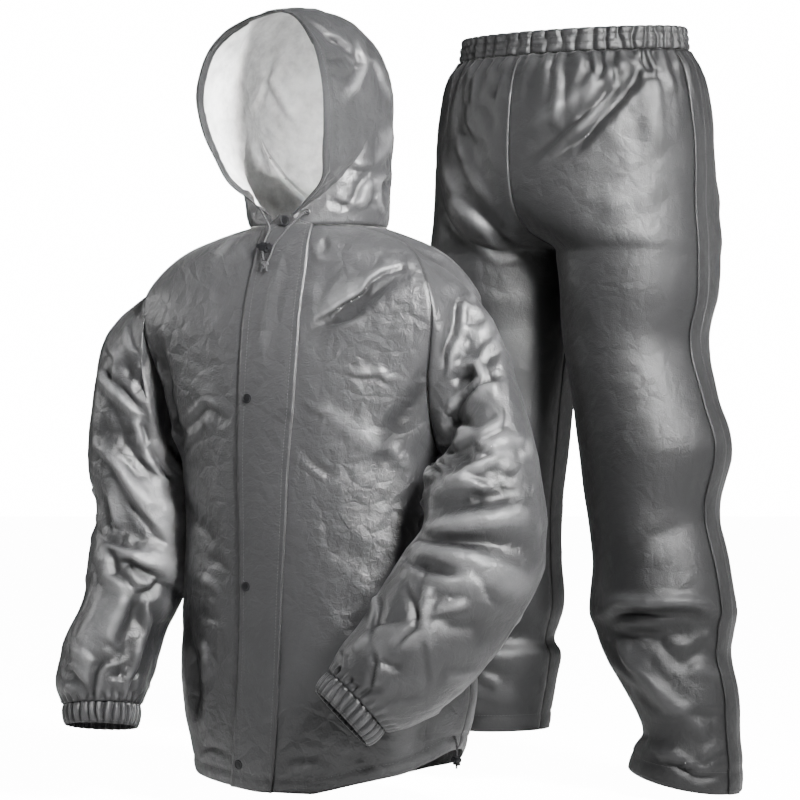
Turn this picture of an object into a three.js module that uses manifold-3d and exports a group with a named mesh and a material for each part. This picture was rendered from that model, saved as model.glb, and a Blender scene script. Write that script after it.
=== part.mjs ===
// A two-piece rain suit, worn open and hollow: a hooded jacket with raglan sleeves, and elastic-waist trousers behind it.
// Millimetres, +Z up. The suit's own frame has its origin at the middle of the jacket's neck, where the wearer carries it.
// Each piece of cloth is a thin wall on a grid of points, and the grids come from tables of sections.
import * as THREE from "three";
import { mergeVertices } from "three/addons/utils/BufferGeometryUtils.js";
import Module from "manifold-3d";

const wasm = await Module();
wasm.setup();

const CLOTH = 1.6; // thickness of one layer of coated cloth
const SEAM_GAP = 0.3; // between the walls of two pieces that are sewn together
const LAYER_GAP = 0.6; // between a panel and what is sewn on top of it

const JACKET_YAW = 26; // degrees that the jacket's front is turned towards -X
const HOOD_YAW = 32;
const TROUSERS_YAW = 38;
const JACKET_CENTRE = { x: 1, y: 0 };
const TROUSERS_CENTRE = { x: 363, y: 200 };

const NECK_HEIGHT = 5; // the neck seam lies in this level plane
const NECK_RADIUS = 95;
const UNDERARM = -325;
const ROWS_BELOW_ARM = 9;
const ROWS_ABOVE_ARM = 9;
const FRONT_COLUMNS = 6;
const SHOULDER_COLUMNS = 2; // points that a sleeve adds across the neck

const CUFF_WAVES = 28;
const WAIST_WAVES = 48;
const POINTS_A_WAVE = 4;

const COLOURS = {
  jacket: 0x6a6a6a,
  trousers: 0x4c4c4c,
  lining: 0xd8d8d6,
  hardware: 0x1c1c1c,
};

const radians = THREE.MathUtils.degToRad;
const lerp = THREE.MathUtils.lerp;
const vector = (x, y, z) => new THREE.Vector3(x, y, z);
const sum = (...parts) => parts.reduce((total, part) => total.add(part), vector(0, 0, 0));
const times = (v, factor) => v.clone().multiplyScalar(factor);
const smooth = (t) => THREE.MathUtils.smoothstep(t, 0, 1);

// A table: its column names, then one row for each section. Each row becomes an object.
function table(names, ...rows) {
  return rows.map((row) => Object.fromEntries(names.map((name, i) => [name, row[i]])));
}

// The smooth value of one column of a table, where its key column has the value "at".
function read(rows, key, at, column) {
  const rising = rows[0][key] < rows[rows.length - 1][key];
  const list = rising ? rows : [...rows].reverse();
  const last = list.length - 1;
  let i = list.findIndex((row) => row[key] > at) - 1;
  if (i < 0) i = at < list[0][key] ? 0 : last - 1;
  const slope = (k) => {
    const a = list[Math.max(0, k - 1)];
    const b = list[Math.min(last, k + 1)];
    return (b[column] - a[column]) / (b[key] - a[key]);
  };
  const span = list[i + 1][key] - list[i][key];
  const t = THREE.MathUtils.clamp((at - list[i][key]) / span, 0, 1);
  const [t2, t3] = [t * t, t * t * t];
  return (
    (2 * t3 - 3 * t2 + 1) * list[i][column] +
    (t3 - 2 * t2 + t) * span * slope(i) +
    (3 * t2 - 2 * t3) * list[i + 1][column] +
    (t3 - t2) * span * slope(i + 1)
  );
}

// A garment's own point (x to the picture's right, y backwards) turned to face as it does and put in its place.
function turned(x, y, z, yaw, centre) {
  const [c, s] = [Math.cos(radians(yaw)), Math.sin(radians(yaw))];
  return vector(centre.x + x * c + y * s, centre.y - x * s + y * c, z);
}

// The height that a list of folds adds at a place: each is a soft ridge (or trough) along a straight line on the cloth.
function foldHeight(folds, across, along) {
  return folds.reduce((total, fold) => {
    const [dx, dy] = [fold.toAcross - fold.across, fold.toAlong - fold.along];
    const reach = dx * dx + dy * dy;
    const t = ((across - fold.across) * dx + (along - fold.along) * dy) / reach;
    const inside = THREE.MathUtils.clamp(t, 0, 1);
    const away = Math.hypot(across - fold.across - inside * dx, along - fold.along - inside * dy);
    const taper = Math.sin(Math.PI * THREE.MathUtils.clamp(0.12 + 0.76 * t, 0, 1));
    return total + fold.height * taper * Math.exp(-((away / fold.width) ** 2));
  }, 0);
}

// A grid of points on the cloth's middle, with a normal at each. A closed grid joins its last column to its first.
class Cloth {
  constructor(rows, columns, pointAt, { closed = false, pole = false } = {}) {
    this.closed = closed;
    this.pole = pole;
    this.points = Array.from({ length: rows + 1 }, (_, r) =>
      Array.from({ length: closed ? columns : columns + 1 }, (_, c) => pointAt(r, c)),
    );
    this.findNormals();
  }

  get lastRow() {
    return this.points.length - 1;
  }

  get width() {
    return this.points[0].length;
  }

  at(r, c) {
    const column = this.closed ? (c + this.width) % this.width : THREE.MathUtils.clamp(c, 0, this.width - 1);
    return this.points[THREE.MathUtils.clamp(r, 0, this.lastRow)][column];
  }

  findNormals() {
    this.normals = this.points.map((row, r) =>
      row.map((_, c) => {
        const around = this.at(r, c + 1).clone().sub(this.at(r, c - 1));
        const down = this.at(r + 1, c).clone().sub(this.at(r - 1, c));
        return around.cross(down).normalize();
      }),
    );
    if (this.pole) {
      const mean = sum(...this.normals[1]).normalize();
      this.normals[0] = this.normals[0].map(() => mean.clone());
    }
    const all = this.points.flat();
    const middle = times(sum(...all), 1 / all.length);
    const outwards = this.points.reduce(
      (total, row, r) =>
        total + row.reduce((part, p, c) => part + this.normals[r][c].dot(p.clone().sub(middle)), 0),
      0,
    );
    this.flipped = outwards < 0;
    if (this.flipped) this.normals.forEach((row) => row.forEach((n) => n.negate()));
  }

  // Moves each point along its normal by a height that depends on its place in the grid.
  raise(heightAt) {
    this.points.forEach((row, r) =>
      row.forEach((p, c) => p.add(times(this.normals[r][c], heightAt(r, c)))),
    );
    this.findNormals();
    return this;
  }

  // The places along an edge, as [row, column] pairs.
  edge(side, from = 0, to = undefined) {
    const [rows, columns] = [this.lastRow, this.width - 1];
    const places = {
      top: Array.from({ length: columns + 1 }, (_, c) => [0, c]),
      bottom: Array.from({ length: columns + 1 }, (_, c) => [rows, c]),
      first: Array.from({ length: rows + 1 }, (_, r) => [r, 0]),
      last: Array.from({ length: rows + 1 }, (_, r) => [r, columns]),
    }[side];
    return places.slice(from, to);
  }

  // Draws the edges back by half a seam gap, each square to the seam.
  drawBack(gap = SEAM_GAP / 2) {
    const moves = this.points.map((row) => row.map(() => vector(0, 0, 0)));
    const draw = (r, c, before, after, inside) => {
      const n = this.normals[r][c];
      const inwards = after.clone().sub(before).cross(n).normalize();
      const towards = inside.clone().sub(this.points[r][c]);
      if (inwards.dot(towards) < 0) inwards.negate();
      moves[r][c].add(inwards.multiplyScalar(gap));
    };
    const rows = this.lastRow;
    for (let c = 0; c < this.width; c += 1) {
      if (!this.pole) draw(0, c, this.at(0, c - 1), this.at(0, c + 1), this.at(1, c));
      draw(rows, c, this.at(rows, c - 1), this.at(rows, c + 1), this.at(rows - 1, c));
    }
    if (!this.closed) {
      const end = this.width - 1;
      for (let r = 0; r <= rows; r += 1) {
        draw(r, 0, this.at(r - 1, 0), this.at(r + 1, 0), this.at(r, 1));
        draw(r, end, this.at(r - 1, end), this.at(r + 1, end), this.at(r, end - 1));
      }
    }
    this.points.forEach((row, r) => row.forEach((p, c) => p.add(moves[r][c])));
    return this;
  }

  // The closed wall of this cloth, half its thickness to each side of the points.
  wall(thickness = CLOTH) {
    const [rows, width] = [this.lastRow + 1, this.width];
    const positions = [];
    for (const side of [0.5, -0.5])
      for (let r = 0; r < rows; r += 1)
        for (let c = 0; c < width; c += 1)
          positions.push(...this.points[r][c].clone().addScaledVector(this.normals[r][c], side * thickness));
    const outer = (r, c) => r * width + (c % width);
    const inner = (r, c) => rows * width + outer(r, c);
    const index = [];
    const triangle = (a, b, c) => index.push(...(this.flipped ? [a, c, b] : [a, b, c]));
    const columns = this.closed ? width : width - 1;
    for (let r = 0; r < rows - 1; r += 1)
      for (let c = 0; c < columns; c += 1) {
        triangle(outer(r, c), outer(r + 1, c + 1), outer(r + 1, c));
        triangle(inner(r, c), inner(r + 1, c), inner(r + 1, c + 1));
        if (this.pole && r === 0) continue;
        triangle(outer(r, c), outer(r, c + 1), outer(r + 1, c + 1));
        triangle(inner(r, c), inner(r + 1, c + 1), inner(r, c + 1));
      }
    for (let c = 0; c < columns; c += 1) {
      if (!this.pole) {
        triangle(outer(0, c), inner(0, c), inner(0, c + 1));
        triangle(outer(0, c), inner(0, c + 1), outer(0, c + 1));
      }
      triangle(outer(rows - 1, c), inner(rows - 1, c + 1), inner(rows - 1, c));
      triangle(outer(rows - 1, c), outer(rows - 1, c + 1), inner(rows - 1, c + 1));
    }
    if (!this.closed)
      for (let r = 0; r < rows - 1; r += 1) {
        triangle(outer(r, 0), inner(r + 1, 0), inner(r, 0));
        triangle(outer(r, 0), outer(r + 1, 0), inner(r + 1, 0));
        triangle(outer(r, width - 1), inner(r, width - 1), inner(r + 1, width - 1));
        triangle(outer(r, width - 1), inner(r + 1, width - 1), outer(r + 1, width - 1));
      }
    const geometry = new THREE.BufferGeometry();
    geometry.setAttribute("position", new THREE.Float32BufferAttribute(positions, 3));
    geometry.setIndex(index);
    geometry.computeVertexNormals();
    return geometry;
  }
}

// Two edges that are sewn together share one normal at each point, so that their walls meet face to face.
function sew(a, placesA, b, placesB) {
  placesA.forEach(([ra, ca], i) => {
    const [rb, cb] = placesB[i];
    const mean = sum(a.normals[ra][ca], b.normals[rb][cb]).normalize();
    a.normals[ra][ca].copy(mean);
    b.normals[rb][cb].copy(mean);
  });
}

function piece(name, geometry, colour, { roughness = 0.45, metalness = 0 } = {}) {
  const material = new THREE.MeshStandardMaterial({ color: colour, roughness, metalness });
  const mesh = new THREE.Mesh(geometry, material);
  mesh.name = name;
  return mesh;
}

// The jacket's body: level sections from the neck to the hem, in the jacket's own axes. half is from the middle to the
// side or to the raglan seam; front and back are from the middle to the cloth; frontSeam and backSeam are how far
// forwards and backwards the raglan seams lie; turn is how far round, in degrees, the section has come at its seam.
const BODY = table(
  ["z", "shift", "half", "backHalf", "front", "back", "frontSeam", "backSeam", "turn"],
  [NECK_HEIGHT, 0, 87, 86, 95, 93, 38, 40, 66],
  [-22, -3, 162, 152, 106, 98, 53, 60, 70],
  [-48, -5, 194, 184, 114, 106, 70, 77, 70],
  [-86, -6, 217, 207, 127, 118, 88, 94, 66],
  [-122, -6, 222, 212, 136, 128, 90, 98, 66],
  [-160, -5, 215, 209, 142, 134, 84, 92, 68],
  [-200, -4, 206, 203, 147, 138, 74, 80, 72],
  [-250, -3, 199, 198, 150, 138, 55, 60, 78],
  [-290, -3, 196, 195, 151, 136, 30, 32, 84],
  [UNDERARM, -2, 194, 194, 152, 134, 0, 0, 90],
  [-400, 2, 194, 194, 152, 129, 0, 0, 90],
  [-500, 7, 203, 203, 152, 127, 0, 0, 90],
  [-600, 15, 212, 212, 155, 128, 0, 0, 90],
  [-680, 20, 210, 210, 157, 131, 0, 0, 90],
  [-725, 20, 201, 201, 155, 130, 0, 0, 90],
  [-757, 17, 193, 193, 150, 126, 0, 0, 90],
);
const HEM = -757;
// How far the hem rises towards each side: it starts so far from the middle and is reached over so wide a part.
const HEM_LIFT = table(["sign", "start", "width", "rise", "power"], [1, 67, 120, 30, 1], [1, 167, 42, 23, 2], [-1, 15, 165, 16, 1]);
const ROWS = ROWS_ABOVE_ARM + ROWS_BELOW_ARM;

// The height of a row of the body. Rows stand close together over the shoulder, where the seam runs nearly level.
function bodyHeight(row) {
  if (row <= ROWS_ABOVE_ARM) return lerp(NECK_HEIGHT, UNDERARM, (row / ROWS_ABOVE_ARM) ** 1.25);
  return lerp(UNDERARM, HEM, (row - ROWS_ABOVE_ARM) / ROWS_BELOW_ARM);
}

// A point of the body in the jacket's own axes: share runs from -1 at the wearer's right seam to 1 at the left one.
function bodyPoint(row, share, face) {
  const z = bodyHeight(row);
  const column = (name) => read(BODY, "z", z, name);
  const front = face === "front";
  const turn = radians(column("turn"));
  const half = column(front ? "half" : "backHalf");
  const depth = column(front ? "front" : "back");
  const seam = row < ROWS_ABOVE_ARM ? column(front ? "frontSeam" : "backSeam") : 0;
  const angle = share * turn;
  const x = (half * Math.sin(angle)) / Math.sin(turn) + column("shift");
  const y = seam + ((depth - seam) * (Math.cos(angle) - Math.cos(turn))) / (1 - Math.cos(turn));
  const lift = HEM_LIFT.reduce((total, row) => {
    const sideways = THREE.MathUtils.clamp((row.sign * x - row.start) / row.width, 0, 1);
    return total + row.rise * sideways ** row.power;
  }, 0);
  const low = smooth((UNDERARM - z) / (UNDERARM - HEM));
  return turned(x, front ? -y : y, z + lift * low, JACKET_YAW, JACKET_CENTRE);
}

// The largest folds of the fronts and back: across is in millimetres from the middle, along is the height.
const FRONT_LEFT_FOLDS = table(
  ["across", "along", "toAcross", "toAlong", "height", "width"],
  [40, -150, 165, -60, -7, 12],
  [45, -135, 150, -45, 5, 14],
  [150, -330, 60, -240, 4, 12],
  [165, -420, 110, -740, 6, 16],
  [120, -500, 70, -742, -5, 14],
);
const FRONT_RIGHT_FOLDS = table(
  ["across", "along", "toAcross", "toAlong", "height", "width"],
  [-150, -350, -60, -430, -5, 13],
  [-160, -300, -190, -120, 5, 10],
  [-185, -480, -170, -742, 6, 13],
  [-120, -520, -110, -700, -5, 12],
);
const BACK_FOLDS = table(
  ["across", "along", "toAcross", "toAlong", "height", "width"],
  [-150, -120, -60, -330, 6, 16],
  [150, -120, 60, -330, 6, 16],
  [-120, -420, -90, -742, 8, 18],
  [-30, -480, -10, -742, -7, 16],
  [50, -400, 80, -742, 8, 18],
  [150, -470, 150, -742, 6, 14],
);

// How far the meeting of the two fronts, and the storm flap's edges on both sides of it, lie from the middle.
const CLOSURE = table(
  ["z", "meeting", "right", "left"],
  [NECK_HEIGHT, 2, -34, 38],
  [-66, 6, -36, 48],
  [-194, 3, -40, 46],
  [-364, -7, -44, 31],
  [-530, -19, -52, 14],
  [-726, -40, -75, -6],
  [HEM, -42, -77, -8],
);

// The share of the body's width at which a line of the closure runs.
function closureShare(z, line) {
  const turn = radians(read(BODY, "z", z, "turn"));
  const sine = (read(CLOSURE, "z", z, line) * Math.sin(turn)) / read(BODY, "z", z, "half");
  return Math.asin(sine) / turn;
}

// The share at a column of a front, which runs from the meeting of the fronts to the seam.
function frontShare(row, column, sign) {
  return lerp(closureShare(bodyHeight(row), "meeting"), sign, column / FRONT_COLUMNS);
}

// The share of the body's width and the height of a grid place, for the folds.
function bodyPlace(row, share) {
  const z = bodyHeight(row);
  return [share * read(BODY, "z", z, "half"), z];
}

function makeFront(side) {
  const sign = side === "left" ? 1 : -1;
  const folds = side === "left" ? FRONT_LEFT_FOLDS : FRONT_RIGHT_FOLDS;
  const cloth = new Cloth(ROWS, FRONT_COLUMNS, (r, c) => bodyPoint(r, frontShare(r, c, sign), "front"));
  return cloth.raise((r, c) => {
    const calm = THREE.MathUtils.clamp(Math.min(c - 1, (FRONT_COLUMNS - c) / 2, r / 2), 0, 1);
    return calm * foldHeight(folds, ...bodyPlace(r, frontShare(r, c, sign)));
  });
}

function makeBack() {
  const columns = 2 * FRONT_COLUMNS;
  const cloth = new Cloth(ROWS, columns, (r, c) => bodyPoint(r, (2 * c) / columns - 1, "back"));
  return cloth.raise((r, c) => {
    const calm = Math.min(c / 2, (columns - c) / 2, r / 2, 1);
    return calm * foldHeight(BACK_FOLDS, ...bodyPlace(r, (2 * c) / columns - 1));
  });
}

// The sleeves: rings across the arm from the shoulder to the cuff. tilt is how far, in degrees, the ring's outer side is
// turned up, and pitch how far the arm points forwards there. out and fore are the ring's half sizes.
const RING_COLUMNS = ["x", "y", "z", "tilt", "pitch", "out", "fore", "at"];
const RIGHT_SLEEVE = table(
  RING_COLUMNS,
  [-240, 80, -213, 72, 0, 107, 80, 1],
  [-252, 78, -268, 48, 0, 92, 73, 2],
  [-258, 72, -330, 10, 0, 66, 71, 3],
  [-249, 66, -388, 0, 0, 60, 69, 4],
  [-255, 56, -445, -4, 4, 66, 71, 5],
  [-259, 46, -500, -4, 8, 68, 72, 6],
  [-284, 34, -562, -8, 12, 71, 70, 7],
  [-297, 22, -622, -6, 12, 67, 65, 8],
  [-300, 14, -654, 0, 12, 53, 50, 9],
);
const LEFT_SLEEVE = table(
  RING_COLUMNS,
  [196, -108, -210, 82, 0, 120, 60, 1],
  [210, -160, -264, 46, 0, 84, 68, 2],
  [219, -192, -325, 18, 0, 78, 72, 3],
  [224, -208, -392, 4, 5, 82, 76, 4],
  [208, -220, -452, -14, 12, 90, 78, 5],
  [169, -236, -512, -38, 14, 86, 75, 6],
  [128, -247, -566, -43, 12, 80, 72, 7],
  [83, -253, -606, -46, 10, 68, 62, 8],
  [57, -254, -625, -47, 8, 53, 50, 9],
);
const RIGHT_CUFF_END = { x: -300, y: 8, z: -683, tilt: 2, pitch: 12, out: 50, fore: 47 };
const LEFT_CUFF_END = { x: 37, y: -257, z: -646, tilt: -47, pitch: 8, out: 50, fore: 47 };
const SLEEVE_ROWS = 17;
const AROUND = 2 * ROWS_ABOVE_ARM + SHOULDER_COLUMNS;

// A point of a ring: angle 0 is the outer side of the arm and 90 its front. side is 1 for the wearer's left arm.
function ringPoint(ring, angle, side) {
  const [tilt, pitch] = [radians(ring.tilt), radians(ring.pitch)];
  const out = vector(side * Math.cos(tilt), 0, Math.sin(tilt));
  const down = vector(side * Math.sin(tilt), 0, -Math.cos(tilt));
  const fore = sum(vector(0, -Math.cos(pitch), 0), times(down, -Math.sin(pitch)));
  const centre = vector(ring.x, ring.y, ring.z);
  return sum(
    centre,
    times(out, ring.out * Math.cos(radians(angle))),
    times(fore, ring.fore * Math.sin(radians(angle))),
  );
}

// The angle round the arm of each column: down the front seam, up the back seam, and across the neck.
function sleeveAngle(column) {
  const neckShare = 14; // degrees on each side of the top that the neck edge takes
  if (column <= ROWS_ABOVE_ARM) return lerp(neckShare, 180, column / ROWS_ABOVE_ARM);
  if (column <= 2 * ROWS_ABOVE_ARM)
    return lerp(180, 360 - neckShare, (column - ROWS_ABOVE_ARM) / ROWS_ABOVE_ARM);
  return 360 - neckShare + ((column - 2 * ROWS_ABOVE_ARM) * 2 * neckShare) / SHOULDER_COLUMNS;
}

// The sleeve's first ring: the raglan seams of the front and the back, and the neck between them.
function raglanPoint(column, side) {
  if (column <= ROWS_ABOVE_ARM) return bodyPoint(column, side, "front");
  if (column <= 2 * ROWS_ABOVE_ARM) return bodyPoint(2 * ROWS_ABOVE_ARM - column, side, "back");
  const [from, to] = [bodyPoint(0, side, "back"), bodyPoint(0, side, "front")];
  const t = (column - 2 * ROWS_ABOVE_ARM) / SHOULDER_COLUMNS;
  const middle = turned(0, 0, NECK_HEIGHT, JACKET_YAW, JACKET_CENTRE);
  const spoke = from.lerp(to, t).sub(middle);
  return sum(middle, spoke.setLength(NECK_RADIUS));
}

const RIGHT_SLEEVE_FOLDS = table(
  ["across", "along", "toAcross", "toAlong", "height", "width"],
  [70, 3.2, 150, 4.3, 9, 16],
  [40, 4.2, 120, 4.9, -10, 14],
  [60, 2.2, 130, 3.1, -8, 14],
  [20, 3.9, 140, 5.5, 8, 14],
  [60, 6.2, 70, 8.4, 6, 16],
  [110, 6.0, 120, 8.4, -6, 13],
  [250, 3.0, 300, 4.6, 8, 18],
  [220, 4.4, 290, 5.2, -7, 16],
);
const LEFT_SLEEVE_FOLDS = table(
  ["across", "along", "toAcross", "toAlong", "height", "width"],
  [60, 2.6, 140, 3.1, 7, 13],
  [40, 3.5, 140, 3.6, -9, 13],
  [50, 3.9, 150, 4.2, 9, 13],
  [40, 4.6, 150, 4.6, -10, 14],
  [30, 5.2, 150, 5.0, 8, 14],
  [20, 5.6, 110, 6.6, -7, 14],
  [80, 6.2, 130, 7.6, 6, 15],
  [250, 3.4, 300, 4.6, 8, 18],
);

// A sleeve: each column runs smoothly from the raglan seam through the rings.
function makeSleeve(side) {
  const sign = side === "left" ? 1 : -1;
  const rings = side === "left" ? LEFT_SLEEVE : RIGHT_SLEEVE;
  const folds = side === "left" ? LEFT_SLEEVE_FOLDS : RIGHT_SLEEVE_FOLDS;
  const last = rings.length;
  const ringAt = (row) => last * (row / SLEEVE_ROWS) ** 1.05;
  const lines = Array.from({ length: AROUND }, (_, c) => {
    const points = [raglanPoint(c, sign), ...rings.map((ring) => ringPoint(ring, sleeveAngle(c), sign))];
    return table(["at", "x", "y", "z"], ...points.map((p, i) => [i, p.x, p.y, p.z]));
  });
  const cloth = new Cloth(
    SLEEVE_ROWS,
    AROUND,
    (r, c) => vector(...["x", "y", "z"].map((axis) => read(lines[c], "at", ringAt(r), axis))),
    { closed: true },
  );
  const degreeLength = 1.2; // millimetres round the arm in one degree
  const ringLength = 55; // millimetres along the arm between rings
  const scaled = folds.map((fold) => ({
    ...fold,
    across: fold.across * degreeLength,
    toAcross: fold.toAcross * degreeLength,
    along: fold.along * ringLength,
    toAlong: fold.toAlong * ringLength,
  }));
  return cloth.raise((r, c) => {
    const calm = Math.min(r / 3, (SLEEVE_ROWS - r) / 2, 1);
    return calm * foldHeight(scaled, sleeveAngle(c) * degreeLength, ringAt(r) * ringLength);
  });
}

// An elastic cuff: a short band with even gathers, between the sleeve's last ring and the cuff's end.
function makeCuff(side) {
  const sign = side === "left" ? 1 : -1;
  const top = side === "left" ? LEFT_SLEEVE[LEFT_SLEEVE.length - 1] : RIGHT_SLEEVE[RIGHT_SLEEVE.length - 1];
  const end = side === "left" ? LEFT_CUFF_END : RIGHT_CUFF_END;
  const gatherDepth = 2.2;
  return new Cloth(
    1,
    CUFF_WAVES * POINTS_A_WAVE,
    (r, c) => {
      const wave = gatherDepth * Math.sin((2 * Math.PI * c) / POINTS_A_WAVE + Math.PI / 4);
      const ring = Object.fromEntries(Object.keys(end).map((key) => [key, lerp(top[key], end[key], r)]));
      const swollen = { ...ring, out: ring.out + wave, fore: ring.fore + wave };
      return ringPoint(swollen, (360 * c) / (CUFF_WAVES * POINTS_A_WAVE), sign);
    },
    { closed: true },
  );
}

// The hood, in its own axes: the edge of the face opening on one side, from the throat to the brim, and the middle seam,
// from the brim over the crown to the neck.
const FACE_EDGE = table(
  ["z", "half", "fore"],
  [NECK_HEIGHT + 12, 15, 93],
  [40, 46, 99],
  [65, 76, 109],
  [99, 88, 125],
  [132, 98, 137],
  [176, 103, 146],
  [212, 97, 146],
  [244, 84, 142],
  [270, 62, 132],
  [288, 34, 116],
);
const CROWN_SEAM = table(
  ["fore", "z"],
  [104, 296],
  [66, 303],
  [24, 304],
  [-20, 298],
  [-56, 280],
  [-84, 250],
  [-99, 205],
  [-103, 160],
  [-102, 110],
  [-98, 60],
  [-95, 30],
);
const HOOD_EAR = { half: 103, fore: 12, z: 158 };
const HOOD_CENTRE = { x: 1, y: 0 };
const HOOD_LIFT = 1.2; // the hood's lower edge stands this far above the jacket's
const HOOD_NECK_POINTS = 9;
const HOOD_RINGS = 5;

// The edge of one side of the hood, all round: neck from throat to back, up the middle seam, and down the face edge.
function hoodOutline() {
  const neck = Array.from({ length: HOOD_NECK_POINTS }, (_, i) => {
    const angle = radians(lerp(10, 180, i / (HOOD_NECK_POINTS - 1)));
    return { half: NECK_RADIUS * Math.sin(angle), fore: NECK_RADIUS * Math.cos(angle), z: NECK_HEIGHT + HOOD_LIFT, edge: "neck" };
  });
  const seam = [...CROWN_SEAM].reverse().map((row) => ({ half: 0, fore: row.fore, z: row.z, edge: "seam" }));
  const face = [...FACE_EDGE].reverse().map((row) => ({ ...row, edge: "face" }));
  return [...neck, ...seam, ...face];
}

function makeHoodSide(side) {
  const sign = side === "left" ? 1 : -1;
  const outline = hoodOutline();
  return new Cloth(
    HOOD_RINGS,
    outline.length,
    (r, c) => {
      const t = Math.sin((Math.PI / 2) * (r / HOOD_RINGS));
      const end = outline[c];
      const fall = end.edge === "seam" ? Math.sqrt(Math.max(0, 1 - t ** 2.3)) : 1 - t ** 2.6;
      const half = end.half + (HOOD_EAR.half - end.half) * fall;
      const fore = lerp(HOOD_EAR.fore, end.fore, t);
      return turned(sign * half, -fore, lerp(HOOD_EAR.z, end.z, t), HOOD_YAW, HOOD_CENTRE);
    },
    { closed: true, pole: true },
  );
}

// The trousers' seat: level sections in the trousers' own axes, from the waist to the crotch. round is how far round
// each front or back panel has come at the middle seam, in degrees: 90 at the belly and 180 at the crotch.
const SEAT = table(
  ["z", "half", "front", "back", "round"],
  [262, 179, 126, 128, 90],
  [238, 197, 143, 146, 90],
  [205, 207, 152, 156, 90],
  [160, 213, 158, 164, 90],
  [100, 216, 158, 168, 92],
  [50, 216, 152, 166, 102],
  [15, 218, 142, 158, 122],
  [-5, 220, 133, 148, 148],
  [-20, 221, 124, 138, 180],
);
const CROTCH = -20;
const CROTCH_GAP = 1.2; // the middle seams stand this far from the middle at the crotch
const WAIST_DIP = 7; // the waist is lower in front and higher behind
const LEG_COLUMNS = ["z", "x", "half", "front", "back", "tilt"];
const LEFT_LEG = table(
  LEG_COLUMNS,
  [CROTCH, 111.1, 109.9, 124, 138, 0],
  [-80, 113, 107, 119, 129, 0],
  [-150, 108, 99, 108, 114, 0],
  [-230, 126, 102, 106, 108, 0],
  [-300, 142, 108, 108, 106, 0],
  [-385, 139, 93, 98, 96, 0],
  [-460, 153, 96, 98, 94, 0],
  [-530, 156, 104, 104, 98, 0],
  [-556, 157, 99, 90, 96, 0],
  [-590, 163, 89, 88, 92, 0],
  [-645, 188, 77, 80, 82, 0],
  [-700, 203, 65, 74, 72, 4],
  [-728, 198, 74, 80, 78, 10],
  [-762, 193, 78, 84, 80, 18],
);
const RIGHT_LEG = table(
  LEG_COLUMNS,
  [CROTCH, -111.1, 109.9, 124, 138, 0],
  [-80, -113, 106, 119, 128, 0],
  [-150, -117, 103, 112, 118, 0],
  [-230, -125, 101, 106, 108, 0],
  [-300, -131, 100, 104, 102, 0],
  [-385, -138, 97, 100, 98, 0],
  [-460, -138, 97, 100, 96, 0],
  [-530, -136, 98, 100, 96, 0],
  [-580, -141, 91, 92, 92, 0],
  [-600, -136, 94, 98, 92, 0],
  [-650, -134, 84, 88, 84, 0],
  [-680, -134, 78, 84, 80, 0],
  [-711, -134, 73, 80, 76, 0],
);
const SEAT_HEIGHTS = [262, 238, 205, 165, 120, 80, 50, 25, 5, -10, CROTCH];
const LEG_ROWS_ABOVE = SEAT_HEIGHTS.length - 1;
const LEG_ROWS_BELOW = 13;
const LEG_ROWS = LEG_ROWS_ABOVE + LEG_ROWS_BELOW;
const PANEL_COLUMNS = 9;
const WAIST_TOP = 296;
const WAIST_BOTTOM = 262;

// The height of a row of the trousers.
function legHeight(row, legs) {
  if (row <= LEG_ROWS_ABOVE) return SEAT_HEIGHTS[row];
  return lerp(CROTCH, legs[legs.length - 1].z, (row - LEG_ROWS_ABOVE) / LEG_ROWS_BELOW);
}

// A point of a trouser panel: share runs from 0 at the outer seam to 1 at the middle or inner seam.
function trouserPoint(row, share, side, face) {
  const sign = side === "left" ? 1 : -1;
  const legs = side === "left" ? LEFT_LEG : RIGHT_LEG;
  const z = legHeight(row, legs);
  const facing = face === "front" ? -1 : 1;
  if (row <= LEG_ROWS_ABOVE) {
    const column = (name) => read(SEAT, "z", z, name);
    const turn = radians(column("round"));
    const radius = column("half") / (1 - Math.cos(turn));
    const apart = (CROTCH_GAP * share * (column("round") - 90)) / 90;
    const x = column("half") - radius + radius * Math.cos(share * turn) + apart;
    const y = facing * column(face) * Math.sin(share * turn);
    const dip = (WAIST_DIP * smooth(z / WAIST_BOTTOM) * y) / column(face);
    return turned(sign * x, y, z + dip, TROUSERS_YAW, TROUSERS_CENTRE);
  }
  const column = (name) => read(legs, "z", z, name);
  const x = column("x") + sign * column("half") * Math.cos(share * Math.PI);
  const y = facing * column(face) * Math.sin(share * Math.PI);
  const tilt = -column("tilt") * Math.cos(share * Math.PI);
  return turned(x, y, z + tilt, TROUSERS_YAW, TROUSERS_CENTRE);
}

// The largest folds of the trousers: across is the share from the outer seam, as a percentage, along is the height.
const TROUSER_FOLDS = {
  left_front: table(
    ["across", "along", "toAcross", "toAlong", "height", "width"],
    [30, 250, 100, 90, -9, 13],
    [38, 255, 108, 118, 6, 13],
    [60, -560, 0, -556, -9, 10],
    [70, -590, 20, -690, 7, 14],
    [10, -400, 50, -440, -4, 12],
  ),
  right_front: table(
    ["across", "along", "toAcross", "toAlong", "height", "width"],
    [90, -10, 50, 120, 8, 14],
    [70, -20, 40, 90, -7, 13],
    [20, -590, 90, -570, -8, 12],
    [30, -620, 80, -660, 7, 14],
  ),
  left_back: table(
    ["across", "along", "toAcross", "toAlong", "height", "width"],
    [90, 10, 30, 60, 8, 18],
    [20, -420, 80, -400, -7, 16],
    [20, -570, 90, -590, -8, 14],
  ),
  right_back: table(
    ["across", "along", "toAcross", "toAlong", "height", "width"],
    [90, 10, 30, 60, 8, 18],
    [20, -410, 80, -430, -7, 16],
    [20, -600, 90, -580, -8, 14],
  ),
};

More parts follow.
